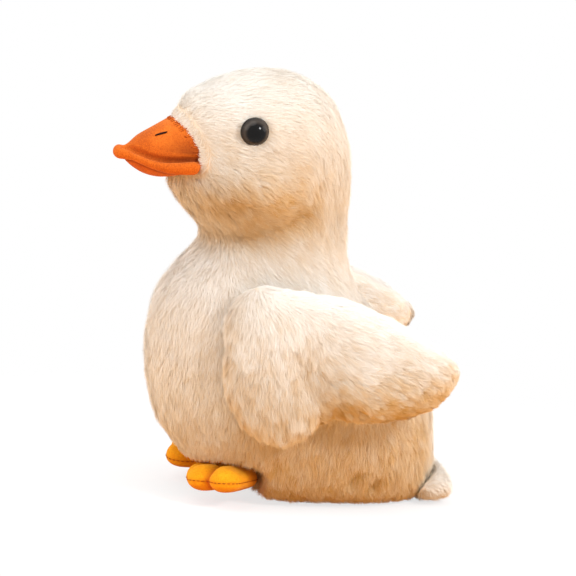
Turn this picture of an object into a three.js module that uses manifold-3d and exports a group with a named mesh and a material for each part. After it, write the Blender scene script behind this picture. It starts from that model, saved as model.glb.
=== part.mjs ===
// Plush duck, sitting upright. Millimetres, +Z up. The duck faces -Y and its left side is +X.
// The origin is on the surface it sits on, under the middle of its box.
// Skins are long-pile fabric. Each outer form takes in the pile, and skinThickness is backing and pile together.

import * as THREE from 'three';
import { mergeVertices } from 'three/addons/utils/BufferGeometryUtils.js';
import Module from 'manifold-3d';

const wasm = await Module();
wasm.setup();

// Driving dimensions
const seamGap = 0.3;
const skinThickness = 6;
const overrun = 30;

const neckHeight = 128;
const neckFront = 44.8;
const neckBack = 32.2;
const neckHalfWidth = 34.5;
const bodyFront = 68;
const bodyBack = 82;
const bodyHalfWidth = 50;

const headHeight = 85;
const headFront = 63;
const headBack = 32;
const headHalfWidth = 42;
const cheekForward = 30;
const cheekAboveNeck = 24;
const cheekReach = 38;
const cheekSwell = 8;

const basePanelThickness = 4;
const basePanelRim = 4;
const weightBagRadius = 26;
const weightBagHeight = 20;
const weightBagBack = 24;

const beakTip = 89.2;
const beakBase = 45;
const beakRise = 27;
const beakLipAboveNeck = 35.6;
const beakLipLift = 4.2;
const beakHalfWidth = 25;
const beakCrownDrop = 2.6;
const beakCloth = 1.8;
const lipRadius = 3;
const lowerBeakDepth = 7.4;
const lowerBeakSetback = 6;

const eyeRadius = 7.2;
const eyeForward = 25;
const eyeAboveNeck = 59;
const eyeTurn = 12;
const eyeTilt = 8;
const eyeDomeHeight = 4.6;
const eyeDiscThickness = 1.4;
const eyeSeat = 2.5;
const eyeShankRadius = 1.9;
const eyeShankLength = 14;
const washerRadius = 6.5;
const washerThickness = 1.6;
const washerHub = 3.2;

const wingHingeInside = 2;
const wingHingeForward = 10;
const wingHingeBelowNeck = 24;
const wingHingeSlope = 12;
const wingLift = 60;
const wingLength = 120;
const wingLead = 25.4;
const wingRise = 11.5;
const wingHem = 31.5;
const wingLean = 7;
const wingStandOff = 12.5;
const wingHalfThickness = 14;
const wingSkin = 5;
const wingOpening = [18, 26, 6];

const tailHingeInside = 5;
const tailLift = 20;
const tailReach = 9.5;
const tailRoot = 20.5;
const tailHalfWidth = 27;
const tailHalfHeight = 8.6;
const tailCentreHeight = 8.9;
const tailSkin = 4;

const footSole = 5;
const footTop = 17.6;
const footSeam = 10.6;
const footPivot = [26, -18.5];
const footTilt = 7;
const footRadius = 8.2;
const footToeReach = 22;
const footToeSpread = 38;
const footToeOut = 30;
const footEdge = 4.5;
const footCloth = 2;

// Colours read from the object
const cream = 0xf5ead8;
const creamWing = 0xf8f0e2;
const fleeceOrange = 0xe9701f;
const fleeceOrangeDark = 0xd65c14;
const fleeceYellow = 0xf79a17;
const fleeceYellowDark = 0xdf7f10;
const fillingWhite = 0xf2f2ee;
const pelletCloth = 0xe8e4da;
const washerWhite = 0xe4e4e0;
const eyeBrown = 0x3a3029;
const clearDome = 0xdfe3e6;

// Heights and reaches of the body's level sections, as shares of the neck's height, the body's reach
// forward, its reach back and its half width.
const bodySectionShares = [
  [0.000, 0.27, 0.856, 0.50],
  [0.020, 0.50, 0.930, 0.68],
  [0.055, 0.63, 0.978, 0.81],
  [0.100, 0.73, 0.994, 0.90],
  [0.156, 0.80, 1.000, 0.95],
  [0.234, 0.857, 0.996, 0.99],
  [0.328, 0.92, 0.984, 1.00],
  [0.430, 0.968, 0.948, 1.00],
  [0.530, 0.997, 0.874, 0.98],
  [0.625, 0.992, 0.752, 0.95],
  [0.703, 0.972, 0.624, 0.91],
  [0.773, 0.936, 0.520, 0.86],
  [0.836, 0.876, 0.454, 0.81],
  [0.890, 0.802, 0.415, 0.76],
  [0.937, 0.725, 0.399, 0.72],
  [0.977, 0.672, 0.393, 0.70],
];

// The same for the head, above the neck: shares of its height, its reach forward, its reach back and its
// half width.
const headSectionShares = [
  [0.036, 0.703, 1.000, 0.820],
  [0.083, 0.743, 0.990, 0.828],
  [0.143, 0.822, 0.984, 0.845],
  [0.214, 0.902, 0.981, 0.885],
  [0.298, 0.965, 0.984, 0.950],
  [0.393, 0.981, 0.981, 0.990],
  [0.500, 0.989, 0.950, 1.000],
  [0.595, 0.997, 0.897, 0.983],
  [0.690, 0.972, 0.812, 0.940],
  [0.774, 0.910, 0.718, 0.857],
  [0.845, 0.825, 0.600, 0.750],
  [0.905, 0.715, 0.450, 0.619],
  [0.952, 0.585, 0.250, 0.464],
  [0.985, 0.430, 0.020, 0.300],
  [1.000, 0.270, -0.260, 0.119],
];

// Upright sections of a wing from its front edge to its tip: shares of its length, then of its drop below
// its top for the upper and lower edge, of its stand-off from the body's widest, and of its half thickness.
const wingSectionShares = [
  [0.000, 0.270, 0.570, -0.14, 0.36],
  [0.017, 0.160, 0.740, -0.06, 0.64],
  [0.054, 0.070, 0.865, 0.01, 0.86],
  [0.121, 0.012, 0.960, 0.09, 0.97],
  [0.212, 0.000, 1.000, 0.14, 1.00],
  [0.304, 0.025, 0.982, 0.18, 0.96],
  [0.379, 0.050, 0.926, 0.23, 0.84],
  [0.446, 0.072, 0.883, 0.34, 0.77],
  [0.529, 0.102, 0.870, 0.52, 0.87],
  [0.629, 0.152, 0.870, 0.70, 0.95],
  [0.729, 0.215, 0.852, 0.85, 0.93],
  [0.821, 0.285, 0.809, 0.95, 0.86],
  [0.896, 0.355, 0.753, 1.00, 0.72],
  [0.954, 0.430, 0.685, 1.00, 0.50],
  [0.990, 0.500, 0.617, 1.00, 0.25],
];

// Upright sections of the tail from inside the body to its end: shares of its length, half height and
// half width.
const tailSectionShares = [
  [0.00, 0.92, 0.90],
  [0.40, 1.00, 0.98],
  [0.66, 0.99, 1.00],
  [0.82, 0.90, 0.98],
  [0.93, 0.70, 0.92],
  [1.00, 0.38, 0.80],
];

// Plan and profile of the beak from base to tip: shares of its length, its half width, the rise of its
// ridge above the lip at the base, and the lip's lift towards the tip.
const beakSectionShares = [
  [0.00, 1.000, 1.000, 0.40],
  [0.18, 0.970, 0.920, 0.24],
  [0.34, 0.890, 0.810, 0.02],
  [0.48, 0.780, 0.700, 0.00],
  [0.62, 0.620, 0.540, 0.24],
  [0.74, 0.430, 0.375, 0.60],
  [0.84, 0.256, 0.205, 0.90],
  [0.93, 0.130, 0.110, 1.00],
  [1.00, 0.050, 0.100, 1.00],
];

// The lower beak: shares of its own length, of the upper beak's half width there, and of its depth.
const lowerBeakShares = [
  [0.00, 0.97, 0.80],
  [0.30, 0.96, 0.92],
  [0.55, 0.94, 1.00],
  [0.74, 0.92, 1.00],
  [0.88, 0.90, 0.92],
  [0.96, 0.80, 0.72],
  [1.00, 0.60, 0.42],
];

// Rounding of a foot's edge, from sole to top: shares of its edge radius inwards and of its height.
const footEdgeShares = [
  [1.00, 0.00],
  [0.45, 0.06],
  [0.10, 0.22],
  [0.00, 0.44],
  [0.06, 0.66],
  [0.36, 0.87],
  [1.00, 1.00],
];

const sectionPower = 2.25;
const facePower = 1.75;
const bodySides = 24;
const coreSides = 12;
const wingSides = 16;
const wingCoreSides = 10;
const smallSides = 16;
const eyeSides = 16;
const lipSides = 6;
const lipSteps = 28;
const lipThinShare = 0.32;
const domeSteps = 4;
const bagEdgeSteps = 5;
const swingSteps = 3;
const toeSteps = 32;
const arcSteps = 8;
const slabReach = 160;
const mergeTolerance = 0.001;

// Rings of points, and the closed solids that run through them
function signedPower(value, exponent) {
  return Math.sign(value) * Math.abs(value) ** exponent;
}

function levelRing(front, back, halfWidth, z, sides, frontPower = sectionPower) {
  const middle = (back - front) / 2;
  const reach = (back + front) / 2;
  return Array.from({ length: sides }, (_, i) => {
    const turn = (2 * Math.PI * i) / sides;
    const fullness = Math.sin(turn) < 0 ? frontPower : sectionPower;
    const x = halfWidth * signedPower(Math.cos(turn), 2 / fullness);
    const y = middle + reach * signedPower(Math.sin(turn), 2 / fullness);
    return new THREE.Vector3(x, y, z);
  });
}

function uprightRing({ middle, halfWidth, lower, upper, y, lean }, sides) {
  const reach = (upper - lower) / 2;
  return Array.from({ length: sides }, (_, i) => {
    const turn = (-2 * Math.PI * i) / sides;
    const up = signedPower(Math.sin(turn), 2 / sectionPower);
    const x = middle + halfWidth * signedPower(Math.cos(turn), 2 / sectionPower) - lean * up;
    return new THREE.Vector3(x, y, lower + reach + reach * up);
  });
}

// Draws upright sections in by depth, without those that close up or lie nearer than depth to an end.
function drawnIn(sections, depth) {
  return sections
    .map((s) => ({ ...s, halfWidth: s.halfWidth - depth, lower: s.lower + depth, upper: s.upper - depth }))
    .filter((s) => Math.min(s.halfWidth, s.upper - s.lower) > seamGap)
    .filter((s) => Math.min(s.y - sections[0].y, sections.at(-1).y - s.y) >= depth);
}

function middleOf(ring) {
  return ring.reduce((sum, p) => sum.add(p), new THREE.Vector3()).divideScalar(ring.length);
}

// Moves every point of the rings in, square to the surface, by depth.
function movedIn(rings, depth) {
  return rings.map((ring, k) => {
    const before = rings[Math.max(k - 1, 0)];
    const after = rings[Math.min(k + 1, rings.length - 1)];
    return ring.map((p, i) => {
      const around = ring[(i + 1) % ring.length].clone().sub(ring.at(i - 1));
      const along = after[i].clone().sub(before[i]);
      return p.clone().addScaledVector(around.cross(along).normalize(), -depth);
    });
  });
}

function ringsGeometry(rings) {
  const sides = rings[0].length;
  const points = rings.flat();
  const first = points.length;
  points.push(middleOf(rings[0]), middleOf(rings.at(-1)));
  const faces = [];
  for (let k = 0; k < rings.length - 1; k += 1) {
    for (let i = 0; i < sides; i += 1) {
      const a = k * sides + i;
      const b = k * sides + ((i + 1) % sides);
      faces.push(a, b, b + sides, a, b + sides, a + sides);
    }
  }
  const last = (rings.length - 1) * sides;
  for (let i = 0; i < sides; i += 1) {
    const next = (i + 1) % sides;
    faces.push(first, next, i);
    faces.push(first + 1, last + i, last + next);
  }
  const geometry = new THREE.BufferGeometry();
  geometry.setAttribute('position', new THREE.Float32BufferAttribute(points.flatMap((p) => [...p]), 3));
  geometry.setIndex(faces);
  return geometry;
}

// Solids that can be joined and cut
function solid(source) {
  let geometry = source.clone();
  geometry.deleteAttribute('normal');
  geometry.deleteAttribute('uv');
  geometry = mergeVertices(geometry, mergeTolerance);
  return new wasm.Manifold(new wasm.Mesh({
    numProp: 3,
    vertProperties: Float32Array.from(geometry.attributes.position.array),
    triVerts: Uint32Array.from(geometry.index.array),
  }));
}

function loft(rings) {
  return solid(ringsGeometry(rings));
}

function moved(piece, matrix) {
  return piece.transform(matrix.toArray());
}

function mirrored(piece) {
  return moved(piece, new THREE.Matrix4().makeScale(-1, 1, 1));
}

function box(low, high) {
  const size = high.map((v, i) => v - low[i]);
  const geometry = new THREE.BoxGeometry(...size);
  geometry.translate(...low.map((v, i) => v + size[i] / 2));
  return solid(geometry);
}

function levelSlab(low, high) {
  return box([-slabReach, -slabReach, low], [slabReach, slabReach, high]);
}

function lathe(profile, sides) {
  const geometry = new THREE.LatheGeometry(profile.map(([r, h]) => new THREE.Vector2(r, h)), sides);
  geometry.rotateX(Math.PI / 2);
  return solid(geometry);
}

function extruded(shape, low, high) {
  const geometry = new THREE.ExtrudeGeometry(shape, {
    depth: high - low,
    bevelEnabled: false,
    curveSegments: arcSteps,
  });
  geometry.translate(0, 0, low);
  return solid(geometry);
}

function turnAbout(point, axis, degrees) {
  const turn = new THREE.Matrix4().makeRotationAxis(axis, THREE.MathUtils.degToRad(degrees));
  const back = new THREE.Matrix4().makeTranslation(...point);
  return back.multiply(turn).multiply(new THREE.Matrix4().makeTranslation(...point.clone().negate()));
}

// Cuts a piece so that it stays clear of its neighbour while it swings from rest to its limit.
function clearOf(piece, neighbour, point, axis, degrees) {
  let left = piece;
  for (let step = 0; step <= swingSteps; step += 1) {
    left = left.subtract(moved(neighbour, turnAbout(point, axis, (-degrees * step) / swingSteps)));
  }
  return left;
}

// Body
function bodyRings(sides) {
  const rings = bodySectionShares.map(([up, front, back, width]) => {
    const fullness = sectionPower + (facePower - sectionPower) * up ** 3;
    const reaches = [front * bodyFront, back * bodyBack, width * bodyHalfWidth];
    return levelRing(...reaches, up * neckHeight, sides, fullness);
  });
  return [...rings, levelRing(neckFront, neckBack, neckHalfWidth, neckHeight, sides, facePower)];
}

function raised(ring, height) {
  return ring.map((p) => new THREE.Vector3(p.x, p.y, p.z + height));
}

function bodyForm(depth, sides) {
  const rings = movedIn(bodyRings(sides), depth);
  return loft([...rings, raised(rings.at(-1), overrun)]);
}

// The opening that the base panel closes, drawn in by margin, up to a height inside the filling.
function baseOpening(margin, low, high) {
  const [, front, back, width] = bodySectionShares[0];
  const inset = basePanelRim + margin;
  const outline = [front * bodyFront - inset, back * bodyBack - inset, width * bodyHalfWidth - inset];
  return loft([levelRing(...outline, low, coreSides), levelRing(...outline, high, coreSides)]);
}

// Where a foot is sewn on: its sole rises a little towards its outer side.
function footPlace(side) {
  const [x, y] = footPivot;
  return new THREE.Matrix4().makeTranslation(side * x, y, 0)
    .multiply(new THREE.Matrix4().makeRotationY(-side * THREE.MathUtils.degToRad(footTilt)));
}

// The space under the breast where both feet lie and turn. Between them it stops at the keel's front wall.
function feetRecess(margin) {
  const middle = -footPivot[0] - margin;
  const radius = footRadius + margin;
  const shape = new THREE.Shape();
  shape.moveTo(middle, -slabReach);
  shape.lineTo(slabReach, -slabReach);
  shape.lineTo(slabReach, radius);
  shape.absarc(0, 0, radius, Math.PI / 2, Math.PI - Math.asin(margin / radius), false);
  shape.lineTo(middle, margin);
  const left = moved(extruded(shape, -slabReach, footTop + margin), footPlace(1));
  return left.add(mirrored(left));
}

function bodyFilling(depth) {
  return bodyForm(depth, coreSides)
    .subtract(feetRecess(depth))
    .add(baseOpening(depth - skinThickness, -overrun, skinThickness + basePanelThickness));
}

function weightBag(margin) {
  const radius = weightBagRadius + margin;
  const low = basePanelThickness + seamGap - margin;
  const high = basePanelThickness + weightBagHeight + margin;
  const edge = (high - low) / 2;
  const profile = [[0, low], [radius - edge, low]];
  for (let i = 1; i < bagEdgeSteps; i += 1) {
    const turn = Math.PI * (i / bagEdgeSteps - 1 / 2);
    profile.push([radius - edge + edge * Math.cos(turn), low + edge + edge * Math.sin(turn)]);
  }
  profile.push([radius - edge, high], [0, high]);
  return moved(lathe(profile, smallSides), new THREE.Matrix4().makeTranslation(0, weightBagBack, 0));
}

// Head
function headRings(sides) {
  const rings = headSectionShares.map(([up, front, back, width]) => {
    const reaches = [front * headFront, back * headBack, width * headHalfWidth];
    return levelRing(...reaches, neckHeight + up * headHeight, sides, facePower);
  });
  return [levelRing(neckFront, neckBack, neckHalfWidth, neckHeight, sides, facePower), ...rings];
}

// Both sides swell into a cheek, which dies away at the neck.
function withCheek(p) {
  const along = (p.y + cheekForward) / cheekReach;
  const up = (p.z - neckHeight - cheekAboveNeck) / cheekAboveNeck;
  const fullness = Math.max(1 - along ** 2 - up ** 2, 0) ** 2;
  return new THREE.Vector3(p.x * (1 + fullness * (cheekSwell / headHalfWidth)), p.y, p.z);
}

function headForm(depth, sides) {
  const rings = movedIn(headRings(sides).map((ring) => ring.map(withCheek)), depth);
  return loft([raised(rings[0], -overrun), ...rings]);
}

// How far the head's side stands out at a height and a reach forward.
function headSideAt(forward, height) {
  const rings = headRings(bodySides);
  const above = rings.findIndex((ring) => ring[0].z > height);
  const share = (height - rings[above - 1][0].z) / (rings[above][0].z - rings[above - 1][0].z);
  const [front, back, width] = [0, 1, 2].map((i) => {
    const sizes = [headFront, headBack, headHalfWidth];
    const low = headSectionShares[above - 2][i + 1] * sizes[i];
    const high = headSectionShares[above - 1][i + 1] * sizes[i];
    return low + (high - low) * share;
  });
  const along = (-forward - (back - front) / 2) / ((back + front) / 2);
  const fullness = along < 0 ? facePower : sectionPower;
  return width * (1 - Math.abs(along) ** fullness) ** (1 / fullness);
}

// Beak: sections like a D, crowned above and shallow below
function beakSection([along, width, rise, lift], spare) {
  return {
    y: -beakBase - along * (beakTip - beakBase - lipRadius),
    halfWidth: width * beakHalfWidth - spare,
    rise: rise * beakRise - spare,
    lip: neckHeight + beakLipAboveNeck + lift * beakLipLift,
  };
}

function crownRing({ y, halfWidth, rise, lip }, drop, sides) {
  return Array.from({ length: sides }, (_, i) => {
    const turn = (-2 * Math.PI * i) / sides;
    const reach = Math.sin(turn) > 0 ? rise : drop;
    return new THREE.Vector3(halfWidth * Math.cos(turn), y, lip + reach * Math.sin(turn));
  });
}

function beakCrown(depth, sides) {
  const rows = beakSectionShares
    .map((row) => beakSection(row, depth))
    .filter((s) => s.halfWidth > 0 && s.rise > 0);
  return loft(rows.map((s) => crownRing(s, beakCrownDrop - depth, sides)).reverse());
}

function tube(curve, radiusAt, steps, sides) {
  const frames = curve.computeFrenetFrames(steps, false);
  const rings = Array.from({ length: steps + 1 }, (_, k) => {
    const centre = curve.getPointAt(k / steps);
    const radius = radiusAt(k / steps);
    return Array.from({ length: sides }, (__, i) => {
      const turn = (2 * Math.PI * i) / sides;
      return centre.clone()
        .addScaledVector(frames.normals[k], radius * Math.cos(turn))
        .addScaledVector(frames.binormals[k], radius * Math.sin(turn));
    });
  });
  return loft(rings);
}

function beakLip(grown) {
  const rows = beakSectionShares.map((row) => beakSection(row, 0));
  const side = (sign) => rows.map((s) => new THREE.Vector3(sign * s.halfWidth, s.y, s.lip));
  const edge = [...side(1), ...side(-1).reverse()];
  const curve = new THREE.CatmullRomCurve3(edge);
  const thinning = (share) => lipThinShare * Math.sin(Math.PI * Math.abs(2 * share - 1)) ** 2;
  const radiusAt = (share) => grown + lipRadius * (1 - thinning(share));
  return tube(curve, radiusAt, lipSteps, lipSides);
}

function lowerBeak() {
  const rows = beakSectionShares.map((row) => beakSection(row, 0));
  const rings = lowerBeakShares.map(([along, width, depth]) => {
    const y = -beakBase - along * (beakTip - beakBase - lowerBeakSetback);
    const above = Math.max(rows.findIndex((s) => s.y <= y), 1);
    const [before, after] = [rows[above - 1], rows[above]];
    const share = (y - before.y) / (after.y - before.y);
    const lip = before.lip + share * (after.lip - before.lip);
    const halfWidth = before.halfWidth + share * (after.halfWidth - before.halfWidth);
    const section = { y, halfWidth: width * halfWidth, rise: seamGap, lip };
    return crownRing(section, depth * lowerBeakDepth, smallSides);
  });
  return loft(rings.reverse());
}

// Eyes, along +Z from the place where they sit on the head's surface
function eyeStem() {
  const disc = eyeRadius - seamGap;
  return lathe([
    [0, -eyeSeat - eyeShankLength],
    [eyeShankRadius, -eyeSeat - eyeShankLength],
    [eyeShankRadius, -eyeSeat],
    [disc, -eyeSeat],
    [disc, -eyeSeat + eyeDiscThickness],
    [0, -eyeSeat + eyeDiscThickness],
  ], eyeSides);
}

function eyeDome() {
  const low = -eyeSeat + eyeDiscThickness + seamGap;
  const profile = [[0, low]];
  for (let i = 0; i < domeSteps; i += 1) {
    const turn = (Math.PI / 2) * (i / domeSteps);
    profile.push([eyeRadius * Math.cos(turn), low + eyeDomeHeight * Math.sin(turn)]);
  }
  return lathe([...profile, [0, low + eyeDomeHeight]], eyeSides);
}

function ringDisc(inner, outer, low, high) {
  return lathe([[inner, low], [outer, low], [outer, high], [inner, high], [inner, low]], eyeSides);
}

function rod(radius, low, high) {
  return lathe([[0, low], [radius, low], [radius, high], [0, high]], eyeSides);
}

function eyeWasher() {
  const top = -skinThickness - seamGap;
  return ringDisc(eyeShankRadius + seamGap, washerRadius, top - washerThickness, top)
    .add(ringDisc(eyeShankRadius + seamGap, washerHub, top - 2 * washerThickness, top - washerThickness));
}

function eyePocket() {
  return rod(eyeRadius + seamGap, -eyeSeat - seamGap, overrun)
    .add(rod(eyeShankRadius + seamGap, -eyeSeat - eyeShankLength - seamGap, overrun))
    .add(rod(washerRadius + seamGap, -skinThickness - 2 * washerThickness - 2 * seamGap, -skinThickness));
}

// Wings: the left one, mirrored for the right. Each hangs from a sloping seam on the body's side.
const wingHingePoint = new THREE.Vector3(
  bodyHalfWidth - wingHingeInside,
  -wingHingeForward,
  neckHeight - wingHingeBelowNeck,
);
const wingSlope = THREE.MathUtils.degToRad(wingHingeSlope);
const wingHingeAxis = new THREE.Vector3(0, -Math.cos(wingSlope), Math.sin(wingSlope));

function wingForm(depth, sides) {
  const top = wingHingePoint.z + wingRise;
  const drop = top - wingHem;
  const upperEdgeLow = wingSectionShares.at(-1)[1];
  const sections = wingSectionShares.map(([along, upper, lower, out, thick]) => ({
    middle: bodyHalfWidth + out * wingStandOff,
    halfWidth: thick * wingHalfThickness,
    lower: top - lower * drop,
    upper: top - upper * drop,
    y: wingHingePoint.y - wingLead + along * wingLength,
    lean: wingLean * (upperEdgeLow - upper) / upperEdgeLow,
  }));
  const form = loft(drawnIn(sections, depth).map((section) => uprightRing(section, sides)));
  const body = bodyForm(-seamGap - depth, bodySides);
  return clearOf(form, body, wingHingePoint, wingHingeAxis, wingLift);
}

// The gap in the seam at the root, through which the wing is filled.
function wingSeamOpening() {
  const half = new THREE.Vector3(...wingOpening).divideScalar(2);
  const middle = wingHingePoint.clone();
  middle.z -= wingRise;
  return box(middle.clone().sub(half).toArray(), middle.add(half).toArray());
}

function wingSkinShell() {
  return wingForm(0, wingSides).subtract(wingForm(wingSkin, wingCoreSides)).subtract(wingSeamOpening());
}

// Tail: it bends up at its upper skin, where it meets the body
const tailHingePoint = new THREE.Vector3(
  0,
  bodyBack - tailHingeInside,
  tailCentreHeight + tailHalfHeight - tailSkin / 2,
);
const tailHingeAxis = new THREE.Vector3(1, 0, 0);
const tailEnd = tailHingePoint.y + tailReach;

function tailForm(depth, sides) {
  const sections = tailSectionShares.map(([along, high, wide]) => ({
    middle: 0,
    halfWidth: wide * tailHalfWidth,
    lower: tailCentreHeight - high * tailHalfHeight,
    upper: tailCentreHeight + high * tailHalfHeight,
    y: tailEnd - (tailRoot + tailReach) * (1 - along),
    lean: 0,
  }));
  return loft(drawnIn(sections, depth).map((section) => uprightRing(section, sides)));
}

function offTheBody(piece) {
  return clearOf(piece, bodyForm(-seamGap, bodySides), tailHingePoint, tailHingeAxis, tailLift);
}

// Feet: three webbed toes and a round heel about the place where the foot is sewn on
function footReach(turn) {
  const spread = THREE.MathUtils.degToRad(footToeSpread);
  const off = Math.abs(turn) - spread;
  if (off > Math.PI / 2) return footRadius;
  if (off > Math.atan2(footRadius, footToeReach)) return footRadius / Math.sin(off);
  const reaches = [-spread, 0, spread].map((middle) => {
    const across = footToeReach * Math.sin(turn - middle);
    return footToeReach * Math.cos(turn - middle) + Math.sqrt(Math.max(footRadius ** 2 - across ** 2, 0));
  });
  return Math.max(...reaches);
}

function footForm(depth, sides) {
  const height = footTop - footSole - 2 * depth;
  const rings = footEdgeShares.map(([inwards, up]) => Array.from({ length: sides }, (_, i) => {
    const turn = Math.PI * (2 * (i / sides) - 1);
    const reach = footReach(turn) - depth - inwards * footEdge;
    const z = footSole + depth + up * height;
    return new THREE.Vector3(reach * Math.sin(turn), -reach * Math.cos(turn), z);
  }));
  return loft(rings);
}

function footHalf(low, high) {
  return footForm(0, toeSteps).subtract(footForm(footCloth, toeSteps / 2)).intersect(levelSlab(low, high));
}

// Materials and pieces
function material(color, roughness, extra = {}) {
  return new THREE.MeshStandardMaterial({ color, roughness, metalness: 0, ...extra });
}

function piece(name, shape, surface) {
  const { vertProperties, triVerts, numProp } = shape.getMesh();
  const points = Array.from({ length: vertProperties.length / numProp }, (_, i) => (
    [...vertProperties.slice(i * numProp, i * numProp + 3)])).flat();
  const geometry = new THREE.BufferGeometry();
  geometry.setAttribute('position', new THREE.Float32BufferAttribute(points, 3));
  geometry.setIndex([...triVerts]);
  geometry.computeVertexNormals();
  const mesh = new THREE.Mesh(geometry, surface);
  mesh.name = name;
  return mesh;
}

function group(...members) {
  const joined = new THREE.Group();
  joined.add(...members);
  return joined;
}

const belowNeck = levelSlab(-slabReach, neckHeight - seamGap / 2);
const aboveNeck = levelSlab(neckHeight + seamGap / 2, neckHeight + headHeight + overrun);
const aboveBase = levelSlab(basePanelThickness + seamGap, neckHeight + overrun);

function bodyGroup() {
  const outer = bodyForm(0, bodySides).subtract(feetRecess(seamGap)).intersect(belowNeck);
  const skin = outer.subtract(bodyFilling(skinThickness));
  const panel = baseOpening(seamGap, 0, basePanelThickness);
  const bag = weightBag(0).intersect(bodyFilling(skinThickness + 2 * seamGap));
  const filling = bodyFilling(skinThickness + seamGap)
    .intersect(bodyFilling(skinThickness))
    .intersect(belowNeck)
    .intersect(aboveBase)
    .subtract(weightBag(seamGap));
  return group(
    piece('body_skin', skin, material(cream, 0.95)),
    piece('base_panel', panel, material(cream, 0.95)),
    piece('body_stuffing', filling, material(fillingWhite, 1)),
    piece('weight_bag', bag, material(pelletCloth, 0.9)),
  );
}

function eyePlace(side) {
  const spot = new THREE.Group();
  const height = neckHeight + eyeAboveNeck;
  spot.position.set(side * headSideAt(eyeForward, height), -eyeForward, height);
  const turn = THREE.MathUtils.degToRad(eyeTurn);
  const tilt = THREE.MathUtils.degToRad(eyeTilt);
  const out = new THREE.Vector3(side * Math.cos(turn), -Math.sin(turn), Math.tan(tilt)).normalize();
  spot.quaternion.setFromUnitVectors(new THREE.Vector3(0, 0, 1), out);
  spot.updateMatrix();
  return spot;
}

function headGroup() {
  const eyes = { left: eyePlace(1), right: eyePlace(-1) };
  const pockets = moved(eyePocket(), eyes.left.matrix).add(moved(eyePocket(), eyes.right.matrix));
  const outer = headForm(0, bodySides).intersect(aboveNeck);
  const hollow = headForm(skinThickness, coreSides);
  const skin = outer.subtract(hollow).subtract(pockets);
  const filling = headForm(skinThickness + seamGap, coreSides)
    .intersect(hollow)
    .intersect(aboveNeck)
    .subtract(pockets);
  const face = headForm(-seamGap, bodySides);
  const upper = beakCrown(0, smallSides)
    .add(beakLip(0))
    .subtract(beakCrown(beakCloth, smallSides))
    .subtract(face);
  const inside = beakCrown(beakCloth + seamGap, smallSides).subtract(face);
  const lower = lowerBeak()
    .subtract(beakCrown(-seamGap, smallSides))
    .subtract(beakLip(seamGap))
    .subtract(face);
  Object.entries(eyes).forEach(([side, spot]) => spot.add(
    piece(`eye_${side}_stem`, eyeStem(), material(eyeBrown, 0.35)),
    piece(`eye_${side}_dome`, eyeDome(), material(clearDome, 0.03, { transparent: true, opacity: 0.35 })),
    piece(`eye_${side}_washer`, eyeWasher(), material(washerWhite, 0.5)),
  ));
  return group(
    piece('head_skin', skin, material(cream, 0.95)),
    piece('head_stuffing', filling, material(fillingWhite, 1)),
    piece('beak_upper', upper, material(fleeceOrange, 0.9)),
    piece('beak_lower', lower, material(fleeceOrangeDark, 0.9)),
    piece('beak_stuffing', inside, material(fillingWhite, 1)),
    eyes.left,
    eyes.right,
  );
}

function wingGroup(side, turned) {
  const filling = wingForm(wingSkin + seamGap, wingCoreSides).intersect(wingForm(wingSkin, wingCoreSides));
  return group(
    piece(`wing_${side}_skin`, turned(wingSkinShell()), material(creamWing, 0.95)),
    piece(`wing_${side}_stuffing`, turned(filling), material(fillingWhite, 1)),
  );
}

function tailGroup() {
  const skin = offTheBody(tailForm(0, wingSides).subtract(tailForm(tailSkin, wingCoreSides)));
  const filling = offTheBody(tailForm(tailSkin + seamGap, wingCoreSides));
  return group(
    piece('tail_skin', skin, material(cream, 0.95)),
    piece('tail_stuffing', filling, material(fillingWhite, 1)),
  );
}

function footGroup(side, sign) {
  const spot = group(
    piece(`foot_${side}_upper`, footHalf(footSeam + seamGap / 2, footTop), material(fleeceYellow, 0.9)),
    piece(`foot_${side}_sole`, footHalf(footSole, footSeam - seamGap / 2), material(fleeceYellowDark, 0.9)),
    piece(`foot_${side}_stuffing`, footForm(footCloth + seamGap, toeSteps / 2), material(fillingWhite, 1)),
  );
  spot.applyMatrix4(footPlace(sign));
  spot.rotateZ(sign * THREE.MathUtils.degToRad(footToeOut));
  return spot;
}

// The part stands with its origin under the middle of its box, from the beak's tip to the tail's end.
const duck = group(
  bodyGroup(),
  headGroup(),
  wingGroup('left', (shape) => shape),
  wingGroup('right', mirrored),
  tailGroup(),
  footGroup('left', 1),
  footGroup('right', -1),
);

duck.position.y = (beakTip - tailEnd) / 2;

export default duck;
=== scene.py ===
"""Looks of the plush duck: long-pile cloth, fleece beak and feet, snap-in eyes.

Lengths in the tables are millimetres in the row frame: +X the duck's left, -Y to its beak, +Z up.
"""

import math

import bmesh
import bpy
import numpy as np
from mathutils import Matrix, Vector
from mathutils.bvhtree import BVHTree
from mathutils.kdtree import KDTree


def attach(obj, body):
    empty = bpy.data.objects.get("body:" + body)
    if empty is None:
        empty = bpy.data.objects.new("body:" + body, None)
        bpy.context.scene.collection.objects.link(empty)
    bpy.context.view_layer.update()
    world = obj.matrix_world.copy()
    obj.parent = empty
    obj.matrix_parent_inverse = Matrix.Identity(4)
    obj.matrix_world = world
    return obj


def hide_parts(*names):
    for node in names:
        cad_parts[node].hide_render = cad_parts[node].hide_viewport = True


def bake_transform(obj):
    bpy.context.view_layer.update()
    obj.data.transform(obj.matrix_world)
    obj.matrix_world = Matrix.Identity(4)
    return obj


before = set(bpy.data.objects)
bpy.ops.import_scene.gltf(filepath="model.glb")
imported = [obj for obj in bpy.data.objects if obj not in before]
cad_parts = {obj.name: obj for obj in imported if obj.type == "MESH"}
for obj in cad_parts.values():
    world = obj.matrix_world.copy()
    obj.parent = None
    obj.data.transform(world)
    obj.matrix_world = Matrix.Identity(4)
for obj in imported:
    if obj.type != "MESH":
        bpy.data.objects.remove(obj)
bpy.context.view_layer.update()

MM = 0.001
EYE_AT = (0.0, -22.4, 185.0)
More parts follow.
